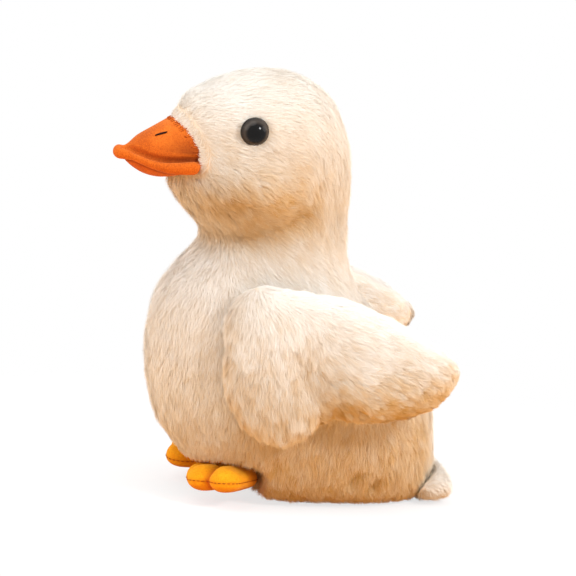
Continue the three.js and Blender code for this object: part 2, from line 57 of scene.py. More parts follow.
EYE_RADIUS, EYE_BASE, EYE_HEIGHT = 7.0, 35.7, 6.6
FLOOR_CLEAR = 0.25
SIDES = {"left": 1, "right": -1}


# Camera, light and floor

AZIMUTH, ELEVATION, ROLL = 80, 10.5, 3.5
CAMERA_AIM = (-18.1, 8.0, 98.7)
CAMERA_FAR, CAMERA_SHOWS, SENSOR = 3.0, 0.2845, 36

# Each lamp's name, place and aim in metres, width, watts and colour
MIDDLE = (0, 0, 0.1)
LAMPS = [
    ("key", (0.2, -0.3, 1.15), MIDDLE, 0.9, 3.9, (1, 0.99, 0.98)),
    ("front", (0.15, -1.15, 0.75), MIDDLE, 1.0, 4.9, (1, 0.98, 0.95)),
    ("back", (0.3, 1.3, 0.65), MIDDLE, 0.9, 4.0, (1, 0.98, 0.96)),
    ("glint", (0.79, 0.57, 0.73), (0.04, -0.02, 0.187), 0.26, 6.5, (1, 1, 1)),
]
WARM, COOL, WHITE = (0.85, 0.48, 0.18, 1), (0.98, 0.99, 1.0, 1), (1, 1, 1, 1)
ROOM_STRENGTH = 0.78
ROOM_COOLS = (-0.25, 0.45)
FLOOR_HALF = 4
FLOOR_GREY, FLOOR_GLOW = (0.30, 0.30, 0.30, 1), 0.72
FLOOR_FADES = (0.13, 0.30)


def make_camera():
    azimuth, elevation, roll = (math.radians(angle) for angle in (AZIMUTH, ELEVATION, ROLL))
    sin_a, cos_a = math.sin(azimuth), math.cos(azimuth)
    sin_e, cos_e = math.sin(elevation), math.cos(elevation)
    right = Vector((cos_a, sin_a, 0))
    up = Vector((-sin_a * sin_e, cos_a * sin_e, cos_e))
    back = Vector((sin_a * cos_e, -cos_a * cos_e, sin_e))
    x = right * math.cos(roll) + up * math.sin(roll)
    y = up * math.cos(roll) - right * math.sin(roll)
    cam = link("camera", bpy.data.cameras.new("camera"))
    turn = Matrix((x, y, back)).transposed().to_4x4()
    cam.matrix_world = Matrix.Translation(Vector(CAMERA_AIM) * MM + back * CAMERA_FAR) @ turn
    cam.data.sensor_width = SENSOR
    cam.data.lens = SENSOR * CAMERA_FAR / CAMERA_SHOWS
    cam.data.clip_start, cam.data.clip_end = 0.05, 20
    bpy.context.scene.camera = cam


def area_lamp(name, place, aim, size, watts, colour):
    data = bpy.data.lights.new(name, "AREA")
    data.shape = "DISK"
    data.size = size
    data.energy = watts
    data.color = colour
    lamp = link(name, data)
    lamp.location = Vector(place)
    lamp.rotation_mode = "QUATERNION"
    lamp.rotation_quaternion = (Vector(place) - Vector(aim)).to_track_quat("Z", "Y")


def seen_straight(nt):
    """1 for rays of the camera, off a polished face or through glass."""
    path = node(nt, "ShaderNodeLightPath")
    value = path.outputs["Is Camera Ray"]
    for kind in ("Is Glossy Ray", "Is Transmission Ray"):
        most = node(nt, "ShaderNodeMath", operation="MAXIMUM")
        nt.links.new(value, most.inputs[0])
        nt.links.new(path.outputs[kind], most.inputs[1])
        value = most.outputs[0]
    return value


def smooth_rise(nt, value, ends):
    """A shader value that goes smoothly from 0 to 1 as value goes from one end to the other."""
    made = node(nt, "ShaderNodeMapRange", interpolation_type="SMOOTHSTEP")
    made.inputs["From Min"].default_value, made.inputs["From Max"].default_value = ends
    nt.links.new(value, made.inputs["Value"])
    return made.outputs[0]


def mix_shaders(nt, share, first, second):
    mix = node(nt, "ShaderNodeMixShader")
    for i, value in enumerate((share, first, second)):
        nt.links.new(value, mix.inputs[i])
    return mix.outputs[0]


def make_light():
    """The lamps and a room that lights in warm tones from below and looks white itself."""
    for lamp in LAMPS:
        area_lamp(*lamp)
    world = bpy.data.worlds.new("room")
    bpy.context.scene.world = world
    world.use_nodes = True
    nt = world.node_tree
    nt.nodes.clear()
    out = node(nt, "ShaderNodeOutputWorld")
    at = node(nt, "ShaderNodeTexCoord")
    parts = node(nt, "ShaderNodeSeparateXYZ")
    nt.links.new(at.outputs["Generated"], parts.inputs[0])
    tint = node(nt, "ShaderNodeMix", data_type="RGBA")
    fill(tint, {"A": WARM, "B": COOL})
    nt.links.new(smooth_rise(nt, parts.outputs["Z"], ROOM_COOLS), tint.inputs["Factor"])
    room = node(nt, "ShaderNodeBackground")
    nt.links.new(tint.outputs["Result"], room.inputs["Color"])
    room.inputs["Strength"].default_value = ROOM_STRENGTH
    white = node(nt, "ShaderNodeBackground")
    white.inputs["Color"].default_value = WHITE
    mix = mix_shaders(nt, seen_straight(nt), room.outputs[0], white.outputs[0])
    nt.links.new(mix, out.inputs["Surface"])


def make_floor():
    """A white floor that fades out away from the duck and throws warm light back at it."""
    bm = bmesh.new()
    bmesh.ops.create_grid(bm, x_segments=8, y_segments=8, size=FLOOR_HALF)
    floor = linked("floor", bm)
    mat = bpy.data.materials.new("floor")
    mat.use_nodes = True
    nt = mat.node_tree
    nt.nodes.clear()
    out = node(nt, "ShaderNodeOutputMaterial")
    warm = node(nt, "ShaderNodeBsdfDiffuse")
    warm.inputs["Color"].default_value = WARM
    lit = node(nt, "ShaderNodeBsdfDiffuse")
    lit.inputs["Color"].default_value = FLOOR_GREY
    glow = node(nt, "ShaderNodeEmission")
    glow.inputs["Strength"].default_value = FLOOR_GLOW
    add = node(nt, "ShaderNodeAddShader")
    nt.links.new(lit.outputs[0], add.inputs[0])
    nt.links.new(glow.outputs[0], add.inputs[1])
    clear = node(nt, "ShaderNodeBsdfTransparent")
    at = node(nt, "ShaderNodeTexCoord")
    far = node(nt, "ShaderNodeVectorMath", operation="LENGTH")
    nt.links.new(at.outputs["Object"], far.inputs[0])
    fade = smooth_rise(nt, far.outputs["Value"], FLOOR_FADES)
    seen = mix_shaders(nt, fade, add.outputs[0], clear.outputs[0])
    mix = mix_shaders(nt, seen_straight(nt), warm.outputs[0], seen)
    nt.links.new(mix, out.inputs["Surface"])
    floor.data.materials.append(mat)


# Meshes


def link(name, data):
    ob = bpy.data.objects.new(name, data)
    bpy.context.scene.collection.objects.link(ob)
    return ob


def linked(name, bm):
    """A new object of the mesh that bm holds."""
    me = bpy.data.meshes.new(name)
    bm.to_mesh(me)
    bm.free()
    return link(name, me)


def copy_of(name, nodes):
    """One new object of the meshes of those CAD nodes."""
    bm = bmesh.new()
    for cad_node in nodes:
        bm.from_mesh(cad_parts[cad_node].data)
    ob = linked(name, bm)
    maps = ob.data.uv_layers
    while maps:
        maps.remove(maps[0])
    return ob


def apply_all(ob):
    """Takes the object's modifiers into its mesh."""
    bpy.context.view_layer.update()
    graph = bpy.context.evaluated_depsgraph_get()
    me = bpy.data.meshes.new_from_object(ob.evaluated_get(graph))
    old = ob.data
    ob.modifiers.clear()
    ob.data = me
    me.name = ob.name
    bpy.data.meshes.remove(old)


def remesh(ob, voxel, smooth):
    """One closed even skin over all parts of a mesh, rounded off."""
    m = ob.modifiers.new("Remesh", "REMESH")
    m.mode = "VOXEL"
    m.voxel_size = voxel * MM
    m.use_smooth_shade = True
    round_off(ob, smooth)
    apply_all(ob)


def round_off(ob, times):
    m = ob.modifiers.new("Smooth", "SMOOTH")
    m.factor, m.iterations = 0.5, times


def shade_smooth(ob):
    ob.data.polygons.foreach_set("use_smooth", [True] * len(ob.data.polygons))


def points_of(ob):
    co = np.zeros(len(ob.data.vertices) * 3, np.float32)
    ob.data.vertices.foreach_get("co", co)
    return co.reshape(-1, 3).astype(float) / MM


def normals_of(ob):
    no = np.zeros(len(ob.data.vertices) * 3, np.float32)
    ob.data.vertex_normals.foreach_get("vector", no)
    return no.reshape(-1, 3).astype(float)


def set_points(ob, p):
    ob.data.vertices.foreach_set("co", (p * MM).astype(np.float32).ravel())
    ob.data.update()


def draw_in(ob, by):
    """Moves each point against its normal by a length or an array of them."""
    by = np.broadcast_to(np.asarray(by, float), (len(ob.data.vertices),))
    set_points(ob, points_of(ob) - normals_of(ob) * by[:, None])


CLOTH = {
    "quality": 5,
    "mass": 0.2,
    "tension_stiffness": 18,
    "compression_stiffness": 18,
    "bending_stiffness": 0.6,
    "use_pressure": True,
}
CLOTH_FRAMES = 14


def inflate(ob, pressure, cap):
    """Swells a padded form by cloth simulation, no point by more than cap, then rounds it off."""
    before = points_of(ob)
    m = ob.modifiers.new("Cloth", "CLOTH")
    for key, value in CLOTH.items():
        setattr(m.settings, key, value)
    m.settings.uniform_pressure_force = pressure
    m.settings.effector_weights.gravity = 0
    m.collision_settings.use_collision = False
    m.collision_settings.use_self_collision = False
    m.point_cache.frame_start, m.point_cache.frame_end = 1, CLOTH_FRAMES
    for frame_number in range(1, CLOTH_FRAMES + 1):
        bpy.context.scene.frame_set(frame_number)
    apply_all(ob)
    bpy.context.scene.frame_set(1)
    moved = points_of(ob) - before
    size = np.linalg.norm(moved, axis=1, keepdims=True)
    set_points(ob, before + moved * np.minimum(1, cap / np.maximum(size, 1e-9)))
    round_off(ob, 3)
    apply_all(ob)


def unit(v):
    return v / np.maximum(np.linalg.norm(v, axis=-1, keepdims=True), 1e-9)


def step(x, a, b):
    """0 on the side of a, 1 on the side of b, with a smooth rise between."""
    t = np.clip((x - a) / (b - a), 0, 1)
    return t * t * (3 - 2 * t)


def ripple(p, size, seed, waves=7):
    """Smooth noise from about -1 to 1 at points p, from sums of waves."""
    r = np.random.default_rng(seed)
    total = np.zeros(len(p))
    for _ in range(waves):
        k = unit(r.normal(size=3)) * (2 * math.pi / size) * r.uniform(0.6, 1.6)
        total += np.sin(p @ k + r.uniform(0, 6.28) + 1.3 * np.sin(p @ k[[1, 2, 0]] * 0.7))
    return total / 4.2


def gap_to(p, path):
    """Distance from each point to a line through the points of path."""
    path = np.asarray(path, float)
    best = np.full(len(p), 1e9)
    for a, b in zip(path[:-1], path[1:]):
        d = b - a
        t = np.clip(((p - a) @ d) / (d @ d), 0, 1)
        best = np.minimum(best, np.linalg.norm(p - a - t[:, None] * d, axis=1))
    return best


def near(p, path, width):
    """1 on the line of path, on either side of the duck, falling to 0 over about width."""
    q = np.abs(p * [1, 0, 0]) + p * [0, 1, 1]
    return np.exp(-((gap_to(q, path) / width) ** 2))


def bend(a, b, w):
    """Directions a turned towards b by the shares w."""
    return a * (1 - w[:, None]) + b * w[:, None]


def regions(stretches, p, n, **places):
    """How far each point is into each region, from 0 to 1: the product of its stretches."""
    places.update(x=np.abs(p[:, 0]), y=p[:, 1], z=p[:, 2], up=n[:, 2])
    at = {"all": np.ones(len(p))}
    for name, parts in stretches.items():
        at[name] = math.prod(step(places[along], *ends) for along, *ends in parts)
    return at


def mixed(amounts, at):
    """The sum of each region's amount, by how far a point is in it."""
    return sum(amount * at[name] for name, amount in amounts.items())


def left_by(shares, at):
    """What is left where each region takes off its share."""
    return math.prod(1 - share * at[name] for name, share in shares.items())


# Pile


def surface(ob):
    me = ob.data
    me.calc_loop_triangles()
    tri = np.zeros(len(me.loop_triangles) * 3, np.int32)
    me.loop_triangles.foreach_get("vertices", tri)
    return points_of(ob), normals_of(ob), tri.reshape(-1, 3)


def sow(ob, count, weight, seed):
    """count roots on ob, as many to the area as weight says, and their normals."""
    p, n, tri = surface(ob)
    a, b, c = p[tri[:, 0]], p[tri[:, 1]], p[tri[:, 2]]
    area = np.linalg.norm(np.cross(b - a, c - a), axis=1) / 2
    area *= weight((a + b + c) / 3, unit(n[tri].mean(1)))
    r = np.random.default_rng(seed)
    pick = r.choice(len(tri), size=count, p=area / area.sum())
    u, v = r.random(count), r.random(count)
    over = u + v > 1
    u[over], v[over] = 1 - u[over], 1 - v[over]
    w = np.stack([1 - u - v, u, v], 1)[:, :, None]
    return (p[tri[pick]] * w).sum(1), unit((n[tri[pick]] * w).sum(1))


SEGMENTS = 2
STRAND_WIDE = (0.13, 0.23)
STRAND_TIP_SHARE = 0.8
STRANDS_PER_MESH = 66000
SWAY, SWAY_SIZE = 0.24, 22
LIFT, LIFT_NOISE, LIFT_SIZE = 7, 5, 13
FIRST_RISE, LAST_RISE = (5, 80), (-4, 60)
CLUMP_MOST = 0.9


def grow(root, normal, comb, length, rise, seed, clump, loose, tuft):
    """The points of each strand: it leaves the cloth at rise[0] degrees and lies down to rise[1].

    Tufts of tuft * tuft strands lean to the strand in their middle, which is returned as their guide.
    """
    r = np.random.default_rng(seed)
    n = len(root)
    across = unit(np.cross(normal, comb))
    along = unit(comb - normal * (comb * normal).sum(1, keepdims=True))
    sway = ripple(root, SWAY_SIZE, seed + 1) * SWAY + r.normal(0, 1, n) * loose
    along = unit(along + across * sway[:, None])
    lift = r.normal(0, LIFT_NOISE, n) + LIFT * ripple(root, LIFT_SIZE, seed + 2)
    lift *= 0.4 + 3 * loose
    first = np.radians(np.clip(rise[0] + lift, *FIRST_RISE))
    last = np.radians(np.clip(rise[1] + lift * 0.7, *LAST_RISE))
    curl = r.normal(0, 1, n) * loose * 0.5
    points = np.zeros((n, SEGMENTS + 1, 3))
    points[:, 0] = root
    for s in range(SEGMENTS):
        t = s / (SEGMENTS - 1)
        angle = first * (1 - t) + last * t
        flat = unit(along + across * (curl * (2 * t - 1))[:, None])
        go = flat * np.cos(angle)[:, None] + normal * np.sin(angle)[:, None]
        points[:, s + 1] = points[:, s] + go * (length / SEGMENTS)[:, None]
    guides = r.choice(n, size=max(8, int(n / (tuft * tuft))), replace=False)
    tree = KDTree(len(guides))
    for i, g in enumerate(guides):
        tree.insert(root[g], i)
    tree.balance()
    guide = guides[np.array([tree.find(q)[1] for q in root])]
    pull = clump * r.uniform(0.5, 1.25, n)
    for s in range(1, SEGMENTS + 1):
        share = np.clip(pull * (s / SEGMENTS) ** 1.3, 0, CLUMP_MOST)[:, None]
        points[:, s] += (points[guide, s] - points[:, s]) * share
    return points, guide


SIDE_LEAN, WING_LEAN, TWIST, SOFTNESS = 0.15, 0.35, 0.07, 0.12
MAP_EDGE, MAP_HALF = 0.01, 0.008


def ribbons(name, points, normal, wide, tone, seed, material):
    """One mesh of thin tapering strands. Its map holds the tone across and root to tip up.

    The strands lie flat side out. On the sides they turn outwards a little, and on the wings' tops to
    the duck's left, so that the camera meets their flat side there too.
    """
    r = np.random.default_rng(seed)
    n, k = len(points), SEGMENTS
    go = np.diff(points, axis=1)
    go = unit(np.concatenate([go, go[:, -1:]], 1))
    across, up = points[:, 0, 0], normal[:, 2]
    lean = SIDE_LEAN * np.clip(across / 14, -1, 1) * (1 - step(up, 0.2, 0.7))
    lean += WING_LEAN * step(up, 0.2, 0.9) * step(np.abs(across), 40, 50)
    facing = unit(normal + lean[:, None] * [1, 0, 0] + r.normal(0, TWIST, (n, 3)))
    side = unit(np.cross(go, facing[:, None, :]))
    taper = np.linspace(1.0, STRAND_TIP_SHARE, k)
    half = side[:, :k] * (wide[:, None] * taper[None, :] / 2)[:, :, None]
    co = np.zeros((n, 2 * k + 1, 3))
    co[:, 0 : 2 * k : 2] = points[:, :k] - half
    co[:, 1 : 2 * k : 2] = points[:, :k] + half
    co[:, 2 * k] = points[:, k]
    co[:, :, 2] = np.maximum(co[:, :, 2], FLOOR_CLEAR)
    quads = [[2 * s, 2 * s + 1, 2 * s + 3, 2 * s + 2] for s in range(k - 1)]
    loops = np.array(sum(quads, []) + [2 * k - 2, 2 * k - 1, 2 * k])
    starts, at = 4 * np.arange(k), len(loops)
    per = 2 * k + 1
    base = np.arange(n)[:, None]
    me = bpy.data.meshes.new(name)
    me.vertices.add(n * per)
    me.vertices.foreach_set("co", (co * MM).astype(np.float32).ravel())
    me.loops.add(n * at)
    me.loops.foreach_set("vertex_index", (base * per + loops).astype(np.int32).ravel())
    me.polygons.add(n * k)
    me.polygons.foreach_set("loop_start", (base * at + starts).astype(np.int32).ravel())
    me.update(calc_edges=True)
    uv = me.uv_layers.new(name="OFBake")
    left = np.array([1.0, -1.0] * k + [0.0])
    from_root = np.arange(per) // 2 / k
    u = np.clip(tone, 0.012, 0.988)[:, None] - MAP_HALF * left[loops][None, :]
    v = np.broadcast_to(MAP_EDGE + (1 - 2 * MAP_EDGE) * from_root[loops], (n, at))
    uv.uv.foreach_set("vector", np.stack([u, v], 2).astype(np.float32).ravel())
    me.materials.append(material)
    soft = unit(normal + r.normal(0, SOFTNESS, (n, 3)))
    soft = np.repeat(soft[:, None, :], per, axis=1).reshape(-1, 3)
    me.normals_split_custom_set_from_vertices(soft.astype(np.float32).tolist())
    return link(name, me)


def thin(count):
    return int(count * (1))


# Materials


# Strand colours from the palest tone to the most golden, at the root and at the tip. The roots are
# darker than the tips as painted shade between the strands, and the golden end of the tone is mostly
# painted shade.
SHADED_ROOTS = [
    (0.0, (254, 249, 241)),
    (0.3, (236, 218, 194)),
    (0.7, (222, 187, 134)),
    (1.0, (204, 156, 88)),
]
TIPS = [
    (0.0, (255, 254, 252)),
    (0.3, (241, 233, 221)),
    (0.7, (237, 214, 178)),
    (1.0, (226, 186, 118)),
]

# How fine the cloth's knit, the fleece's nap and its patches are
KNIT, NAP, BROAD = 1800, 1500, 90
BROAD_SHARE = 0.35


def linear(rgb):
    shares = [c / 255 for c in rgb]
    return (*(s / 12.92 if s <= 10 / 255 else ((s + 0.055) / 1.055) ** 2.4 for s in shares), 1)


def darker(colour, share):
    return tuple(int(c * share) for c in colour)


def node(nt, kind, **sets):
    made = nt.nodes.new(kind)
    for key, value in sets.items():
        setattr(made, key, value)
    return made


def fill(made, values):
    """Sets a node's inputs by their names."""
    for key, value in values.items():
        made.inputs[key].default_value = value


def ramp(nt, stops):
    made = node(nt, "ShaderNodeValToRGB")
    band = made.color_ramp
    while len(band.elements) > 1:
        band.elements.remove(band.elements[-1])
    for i, (place, colour) in enumerate(stops):
        e = band.elements[0] if i == 0 else band.elements.new(place)
        e.position = place
        e.color = linear(colour)
    return made


def new_material(name, roughness, specular=0.2, sheen=0.0, sheen_tint=(1, 1, 1)):
    mat = bpy.data.materials.new(name)
    mat.use_nodes = True
    bsdf = mat.node_tree.nodes["Principled BSDF"]
    fill(bsdf, {"Roughness": roughness, "Specular IOR Level": specular})
    fill(bsdf, {"Sheen Weight": sheen, "Sheen Tint": (*sheen_tint, 1)})
    return mat, mat.node_tree, bsdf


def pile_material(name, roots, tips):
    """Strand colour from its map: across is the tone, from pale to golden, which carries painted
    shade, and up is root to tip, darker at the root as painted shade.
    """
    mat, nt, bsdf = new_material(name, 0.62, 0.25)
    uv = node(nt, "ShaderNodeUVMap", uv_map="OFBake")
    parts = node(nt, "ShaderNodeSeparateXYZ")
    nt.links.new(uv.outputs["UV"], parts.inputs[0])
    mix = node(nt, "ShaderNodeMix", data_type="RGBA")
    nt.links.new(parts.outputs["Y"], mix.inputs["Factor"])
    tones(nt, parts.outputs["X"], roots, mix.inputs["A"])
    tones(nt, parts.outputs["X"], tips, mix.inputs["B"])
    nt.links.new(mix.outputs["Result"], bsdf.inputs["Base Color"])
    return mat


def noise(nt, scale, detail, roughness=0.5):
    """The value of a noise that stays with the object."""
    at = node(nt, "ShaderNodeTexCoord")
    made = node(nt, "ShaderNodeTexNoise")
    fill(made, {"Scale": scale, "Detail": detail, "Roughness": roughness})
    nt.links.new(at.outputs["Object"], made.inputs["Vector"])
    return made.outputs["Fac"]


def tones(nt, value, stops, socket):
    """Colours the socket by the stops that value passes."""
    band = ramp(nt, stops)
    nt.links.new(value, band.inputs[0])
    nt.links.new(band.outputs["Color"], socket)


def bumps(nt, bsdf, height, strength, distance):
    made = node(nt, "ShaderNodeBump")
    fill(made, {"Strength": strength, "Distance": distance})
    nt.links.new(height, made.inputs["Height"])
    nt.links.new(made.outputs["Normal"], bsdf.inputs["Normal"])


def cloth_material(name, pale, deep, grain, roughness=0.9):
    """Backing cloth or thread: two tones in patches, with a knit's bumps."""
    mat, nt, bsdf = new_material(name, roughness, 0.15)
    tones(nt, noise(nt, grain, 5), [(0.35, deep), (0.65, pale)], bsdf.inputs["Base Color"])
    bumps(nt, bsdf, noise(nt, KNIT, 3), 0.4, 0.0006)
    return mat


def shade(ob, amount):
    """Stores how much painted shade each point of ob gets, from 0 to 1, by how deep in a fold or
    under a part it lies, for its fleece.
    """
    at = ob.data.attributes.new("fold", "FLOAT", "POINT")
    at.data.foreach_set("value", np.clip(amount, 0, 1).astype(np.float32))


# Fleece from pale to deep, and a painted shade colour for its folds. ORANGE_SHADED is a darker copy
# of ORANGE, painted shade for the lower beak under the upper one.
ORANGE = [(236, 126, 36), (217, 106, 23), (184, 79, 9), (112, 38, 2)]
ORANGE_SHADED = [(230, 114, 30), (212, 98, 20), (182, 74, 10), (130, 46, 5)]
YELLOW = [(255, 188, 34), (252, 172, 22), (236, 142, 10), (190, 82, 5)]


def fleece_material(name, pale, mid, deep, fold):
    """Fleece in three tones of a broad and a fine noise, turning to a painted shade colour deep in a
    fold.
    """
    mat, nt, bsdf = new_material(name, 0.85, 0.2, 0.12, (1, 0.7, 0.4))
    nap = noise(nt, NAP, 6, 0.7)
    fine = node(nt, "ShaderNodeMath", operation="MULTIPLY")
    fine.inputs[1].default_value = 1 - BROAD_SHARE
    nt.links.new(nap, fine.inputs[0])
    both = node(nt, "ShaderNodeMath", operation="MULTIPLY_ADD")
    both.inputs[1].default_value = BROAD_SHARE
    nt.links.new(noise(nt, BROAD, 3), both.inputs[0])
    nt.links.new(fine.outputs[0], both.inputs[2])
    depth = node(nt, "ShaderNodeAttribute", attribute_name="fold")
    mix = node(nt, "ShaderNodeMix", data_type="RGBA")
    nt.links.new(depth.outputs["Fac"], mix.inputs["Factor"])
    tones(nt, both.outputs[0], [(0.36, deep), (0.5, mid), (0.64, pale)], mix.inputs["A"])
    mix.inputs["B"].default_value = linear(fold)
    nt.links.new(mix.outputs["Result"], bsdf.inputs["Base Color"])
    bumps(nt, bsdf, nap, 0.5, 0.0004)
    return mat


# The printed disc's colours by their share of its radius
EYE_PRINT = [
    (0.0, (5, 4, 4)),
    (0.60, (8, 6, 5)),
    (0.67, (38, 33, 30)),
    (0.80, (66, 59, 53)),
    (0.90, (56, 49, 44)),
    (0.97, (18, 14, 12)),
]


def eye_material(side):
    """The printed disc round the eye's axis: black pupil, grey-brown iris and dark rim."""
    mat, nt, bsdf = new_material("eye_print_" + side, 0.4, 0.03)
    at = node(nt, "ShaderNodeTexCoord")
    off = node(nt, "ShaderNodeVectorMath", operation="SUBTRACT")
    off.inputs[1].default_value = Vector(EYE_AT) * MM
    nt.links.new(at.outputs["Object"], off.inputs[0])
    flat = node(nt, "ShaderNodeVectorMath", operation="MULTIPLY")
    flat.inputs[1].default_value = (0, 1, 1)
    nt.links.new(off.outputs[0], flat.inputs[0])
    size = node(nt, "ShaderNodeVectorMath", operation="LENGTH")
    nt.links.new(flat.outputs[0], size.inputs[0])
    share = node(nt, "ShaderNodeMath", operation="DIVIDE")
    share.inputs[1].default_value = EYE_RADIUS * MM
    nt.links.new(size.outputs["Value"], share.inputs[0])
    tones(nt, share.outputs[0], EYE_PRINT, bsdf.inputs["Base Color"])
    bsdf.inputs["Coat Weight"].default_value = 0.36
    bsdf.inputs["Coat Roughness"].default_value = 0.01
    return mat


def plastic_material(name, colour, roughness):
    mat, nt, bsdf = new_material(name, roughness, 0.5)
    stops = [(0.3, darker(colour, 0.94)), (0.7, colour)]
    tones(nt, noise(nt, 400, 2), stops, bsdf.inputs["Base Color"])
    return mat


# Folds and puckers on the left side, which the right side mirrors, and the height of the wings' hem.
# The cheek, the wing folds and the puckers are drawn into the cloth and get painted shade too; the
# breast side and the jaw only place painted shade.
CHEEK = [
    (10.4, -40.5, 127.6),
    (22.3, -31.6, 129.1),
    (30.1, -20.6, 130.9),
    (35.3, -8.0, 136.2),
    (35.0, 2.5, 141.4),
]
JAW = [(34, -38, 148), (41, -20, 153), (40, -4, 155)]
BREAST_SIDE = [
    (46.4, -26.8, 109.2),
    (51.1, -31.7, 97.7),
    (53.9, -33.3, 83.4),
    (57.2, -32.9, 69.4),
    (59.9, -30.6, 55.2),
    (61.7, -25.3, 43.4),
]
WING_FOLD = [
    (60.9, 2.2, 93.2),
    (63.3, 3.3, 83.9),
    (65.2, 5.0, 74.5),
    (66.2, 7.4, 64.9),
    (66.5, 10.9, 55.2),
    (65.1, 16.2, 45.2),
]
HEM_Y = [-30, -22.8, -14.4, -3.2, 6.2, 17.8, 32.1, 45.9, 60.1, 72, 86]
HEM_Z = [48, 41.2, 36.3, 35.7, 40, 47.9, 47.3, 50.5, 56.1, 63.1, 74]
PUCKERS = [(44.1, 34.6, 13.7), (39.9, 45.5, 10.5)]


# Body and head

BODY_NODES = ["body_skin", "body_stuffing", "base_panel", "weight_bag", "head_skin", "head_stuffing"]
BODY_STRANDS = 330000
BEAK_MIDDLE = (0.0, -54.0, 172.0)
BEAK_END = (0, -66.0, 171.0)
HEAD_COMB = np.array([0, 0.35, -0.35])
NAPE_COMB = np.array([0, 0.25, -1])
RUMP_COMB = np.array([0, 1, -0.1])
COLLAR_COMB = np.array([0, 1, -0.35])

# Regions of the pile, each a product of stretches from where it starts to where it is complete:
# outwards in x, to the tail in y, up in z, or by how far the cloth faces up
HEAD, BELOW_HEAD = ("z", 118, 146), ("z", 146, 118)
CHEEKS = [HEAD, ("z", 178, 158), ("y", 26, 8)]
BODY_REGIONS = {
    "head": [HEAD],
    "nape": [("y", -5, 22), ("z", 212, 190)],
    "back": [("y", 20, 70)],
    "rump": [BELOW_HEAD, ("y", 20, 50), ("up", 0.5, 0.9)],
    "skirt": [("z", 20, 4)],
    "rear_skirt": [("y", 10, 40)],
    "over_feet": [("y", -8, -24), ("z", 46, 24)],
    "low_body": [BELOW_HEAD, ("z", 100, 50)],
    "cheek": CHEEKS,
    "under_cheek": [*CHEEKS, ("up", 0.25, -0.6)],
    "even_head": [("z", 172, 188)],
    "even_top": [("up", 0.3, 0.8)],
    "short_top": [("z", 176, 200)],
    "smooth": [("z", 176, 190)],
    "collar": [("z", 94, 108), ("z", 144, 128), ("y", -44, -16)],
    "under_wing": [("x", 30, 36), ("y", -24, -16), ("y", 76, 66), ("z", 36, 44), ("z", 100, 92)],
    "flank": [("y", -40, -6)],
    "rear": [("y", 68, 80)],
    "below_wing": [("z", 98, 20)],
    "below_breast": [("z", 66, 4)],
    "floor": [("z", 14, 0)],
    "low_face": [HEAD, ("z", 188, 152)],
    "face": [HEAD, ("z", 196, 180)],
    "breast": [("y", -18, -44), BELOW_HEAD, ("z", 40, 70)],
}

# Amounts by region: roughness, length in mm, tone from pale to golden, and rise in degrees. Apart
# from a slight tint all over, the tone is painted shade, and the breast's paler share is painted
# light.
BODY_ROUGH = {"all": 0.30, "low_body": 0.45, "cheek": 0.5}
BODY_EVEN = {"even_head": 0.8, "even_top": 0.5}
BODY_LENGTH = {"all": 7.6, "head": -0.9, "short_top": -1.1, "cheek": 1.2, "skirt": -3.0}
BODY_SHORTER = {"over_feet": 0.38, "under_wing": 0.3}
# Painted shade: golden tone on the flanks, low down, near the floor, underneath, under the cheeks and
# jaw, on the face and in the folds and puckers
BODY_TINT_AND_SHADE = {
    "all": 0.04, "side": 0.12, "low_side": 0.54, "low_front": 0.36, "floor": 0.14, "under": 0.14,
    "under_cheek": 0.16, "jaw": 0.30, "low_face": 0.10, "face": 0.05,
    "cheek_fold": 0.34, "breast_fold": 0.40, "puckers": 0.4,
}
# Painted light: the breast is paler
BODY_PAINTED_LIGHT = {"breast": 0.3}
BODY_RISE = [{"all": 25, "rough": -2, "smooth": -5}, {"all": 5, "rough": -1, "smooth": -2}]


def across_neck(ob):
    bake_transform(ob)


def near_puckers(p, width):
    return sum(near(p, [spot, np.add(spot, (0, 2, 5))], width) for spot in PUCKERS)


def make_body():
    skin = copy_of("cloth_body_head", BODY_NODES)
    remesh(skin, 2.4, smooth=6)
    p = points_of(skin)
    depth = 2.2 + 0.8 * step(p[:, 2], 0, 30) * (1 - step(p[:, 2], 120, 160))
    depth = depth * (0.35 + 0.65 * step(p[:, 2], 1, 12)) + 1.5 * step(p[:, 2], 194, 208)
    depth = depth + 2.4 * near(p, CHEEK, 5.5) - 0.8 * near(p + [0, 4, -9], CHEEK, 7)
    depth = depth + 3.0 * near_puckers(p, 3.5)
    draw_in(skin, depth)
    p = points_of(skin)
    over_feet = step(-p[:, 1], 12, 30) * (1 - step(p[:, 2], 12, 40))
    lift = 14 - 10 * step(np.abs(p[:, 0]), 4, 22)
    p[:, 2] += lift * over_feet * (1 - 0.75 * step(p[:, 2], 0, 26))
    p[:, 2] = np.maximum(p[:, 2], 9 * (1 - step(p[:, 1], -18, 8)))
    p[:, 1] += 5 * over_feet * step(-p[:, 1], 34, 56)
    p[:, 2] = np.maximum(p[:, 2], 0.6)
    set_points(skin, p)
    skin.data.materials.append(cloth_material("backing", (252, 244, 230), (246, 226, 198), 60))
    return skin


def body_regions(p, n):
    """How far each point is into each region of the body and the head, from 0 to 1."""
    at = regions(BODY_REGIONS, p, n)
    # side, low_side, low_front, under, jaw, cheek_fold, breast_fold and puckers mark where the pile
    # gets painted shade
    at["side"] = at["flank"] * (1 - 0.8 * at["rear"])
    at["low_side"] = at["side"] * at["below_wing"]
    at["low_front"] = (1 - at["side"]) * at["below_breast"]
    at["under"] = np.clip(-n[:, 2], 0, 1) * (1 - at["head"])
    at["jaw"] = near(p, JAW, 15)
    at["cheek_fold"] = near(p, CHEEK, 6)
    at["breast_fold"] = near(p, BREAST_SIDE, 6.5)
    at["puckers"] = near_puckers(p, 4)
    at["rough"] = mixed(BODY_ROUGH, at) * left_by(BODY_EVEN, at)
    return at


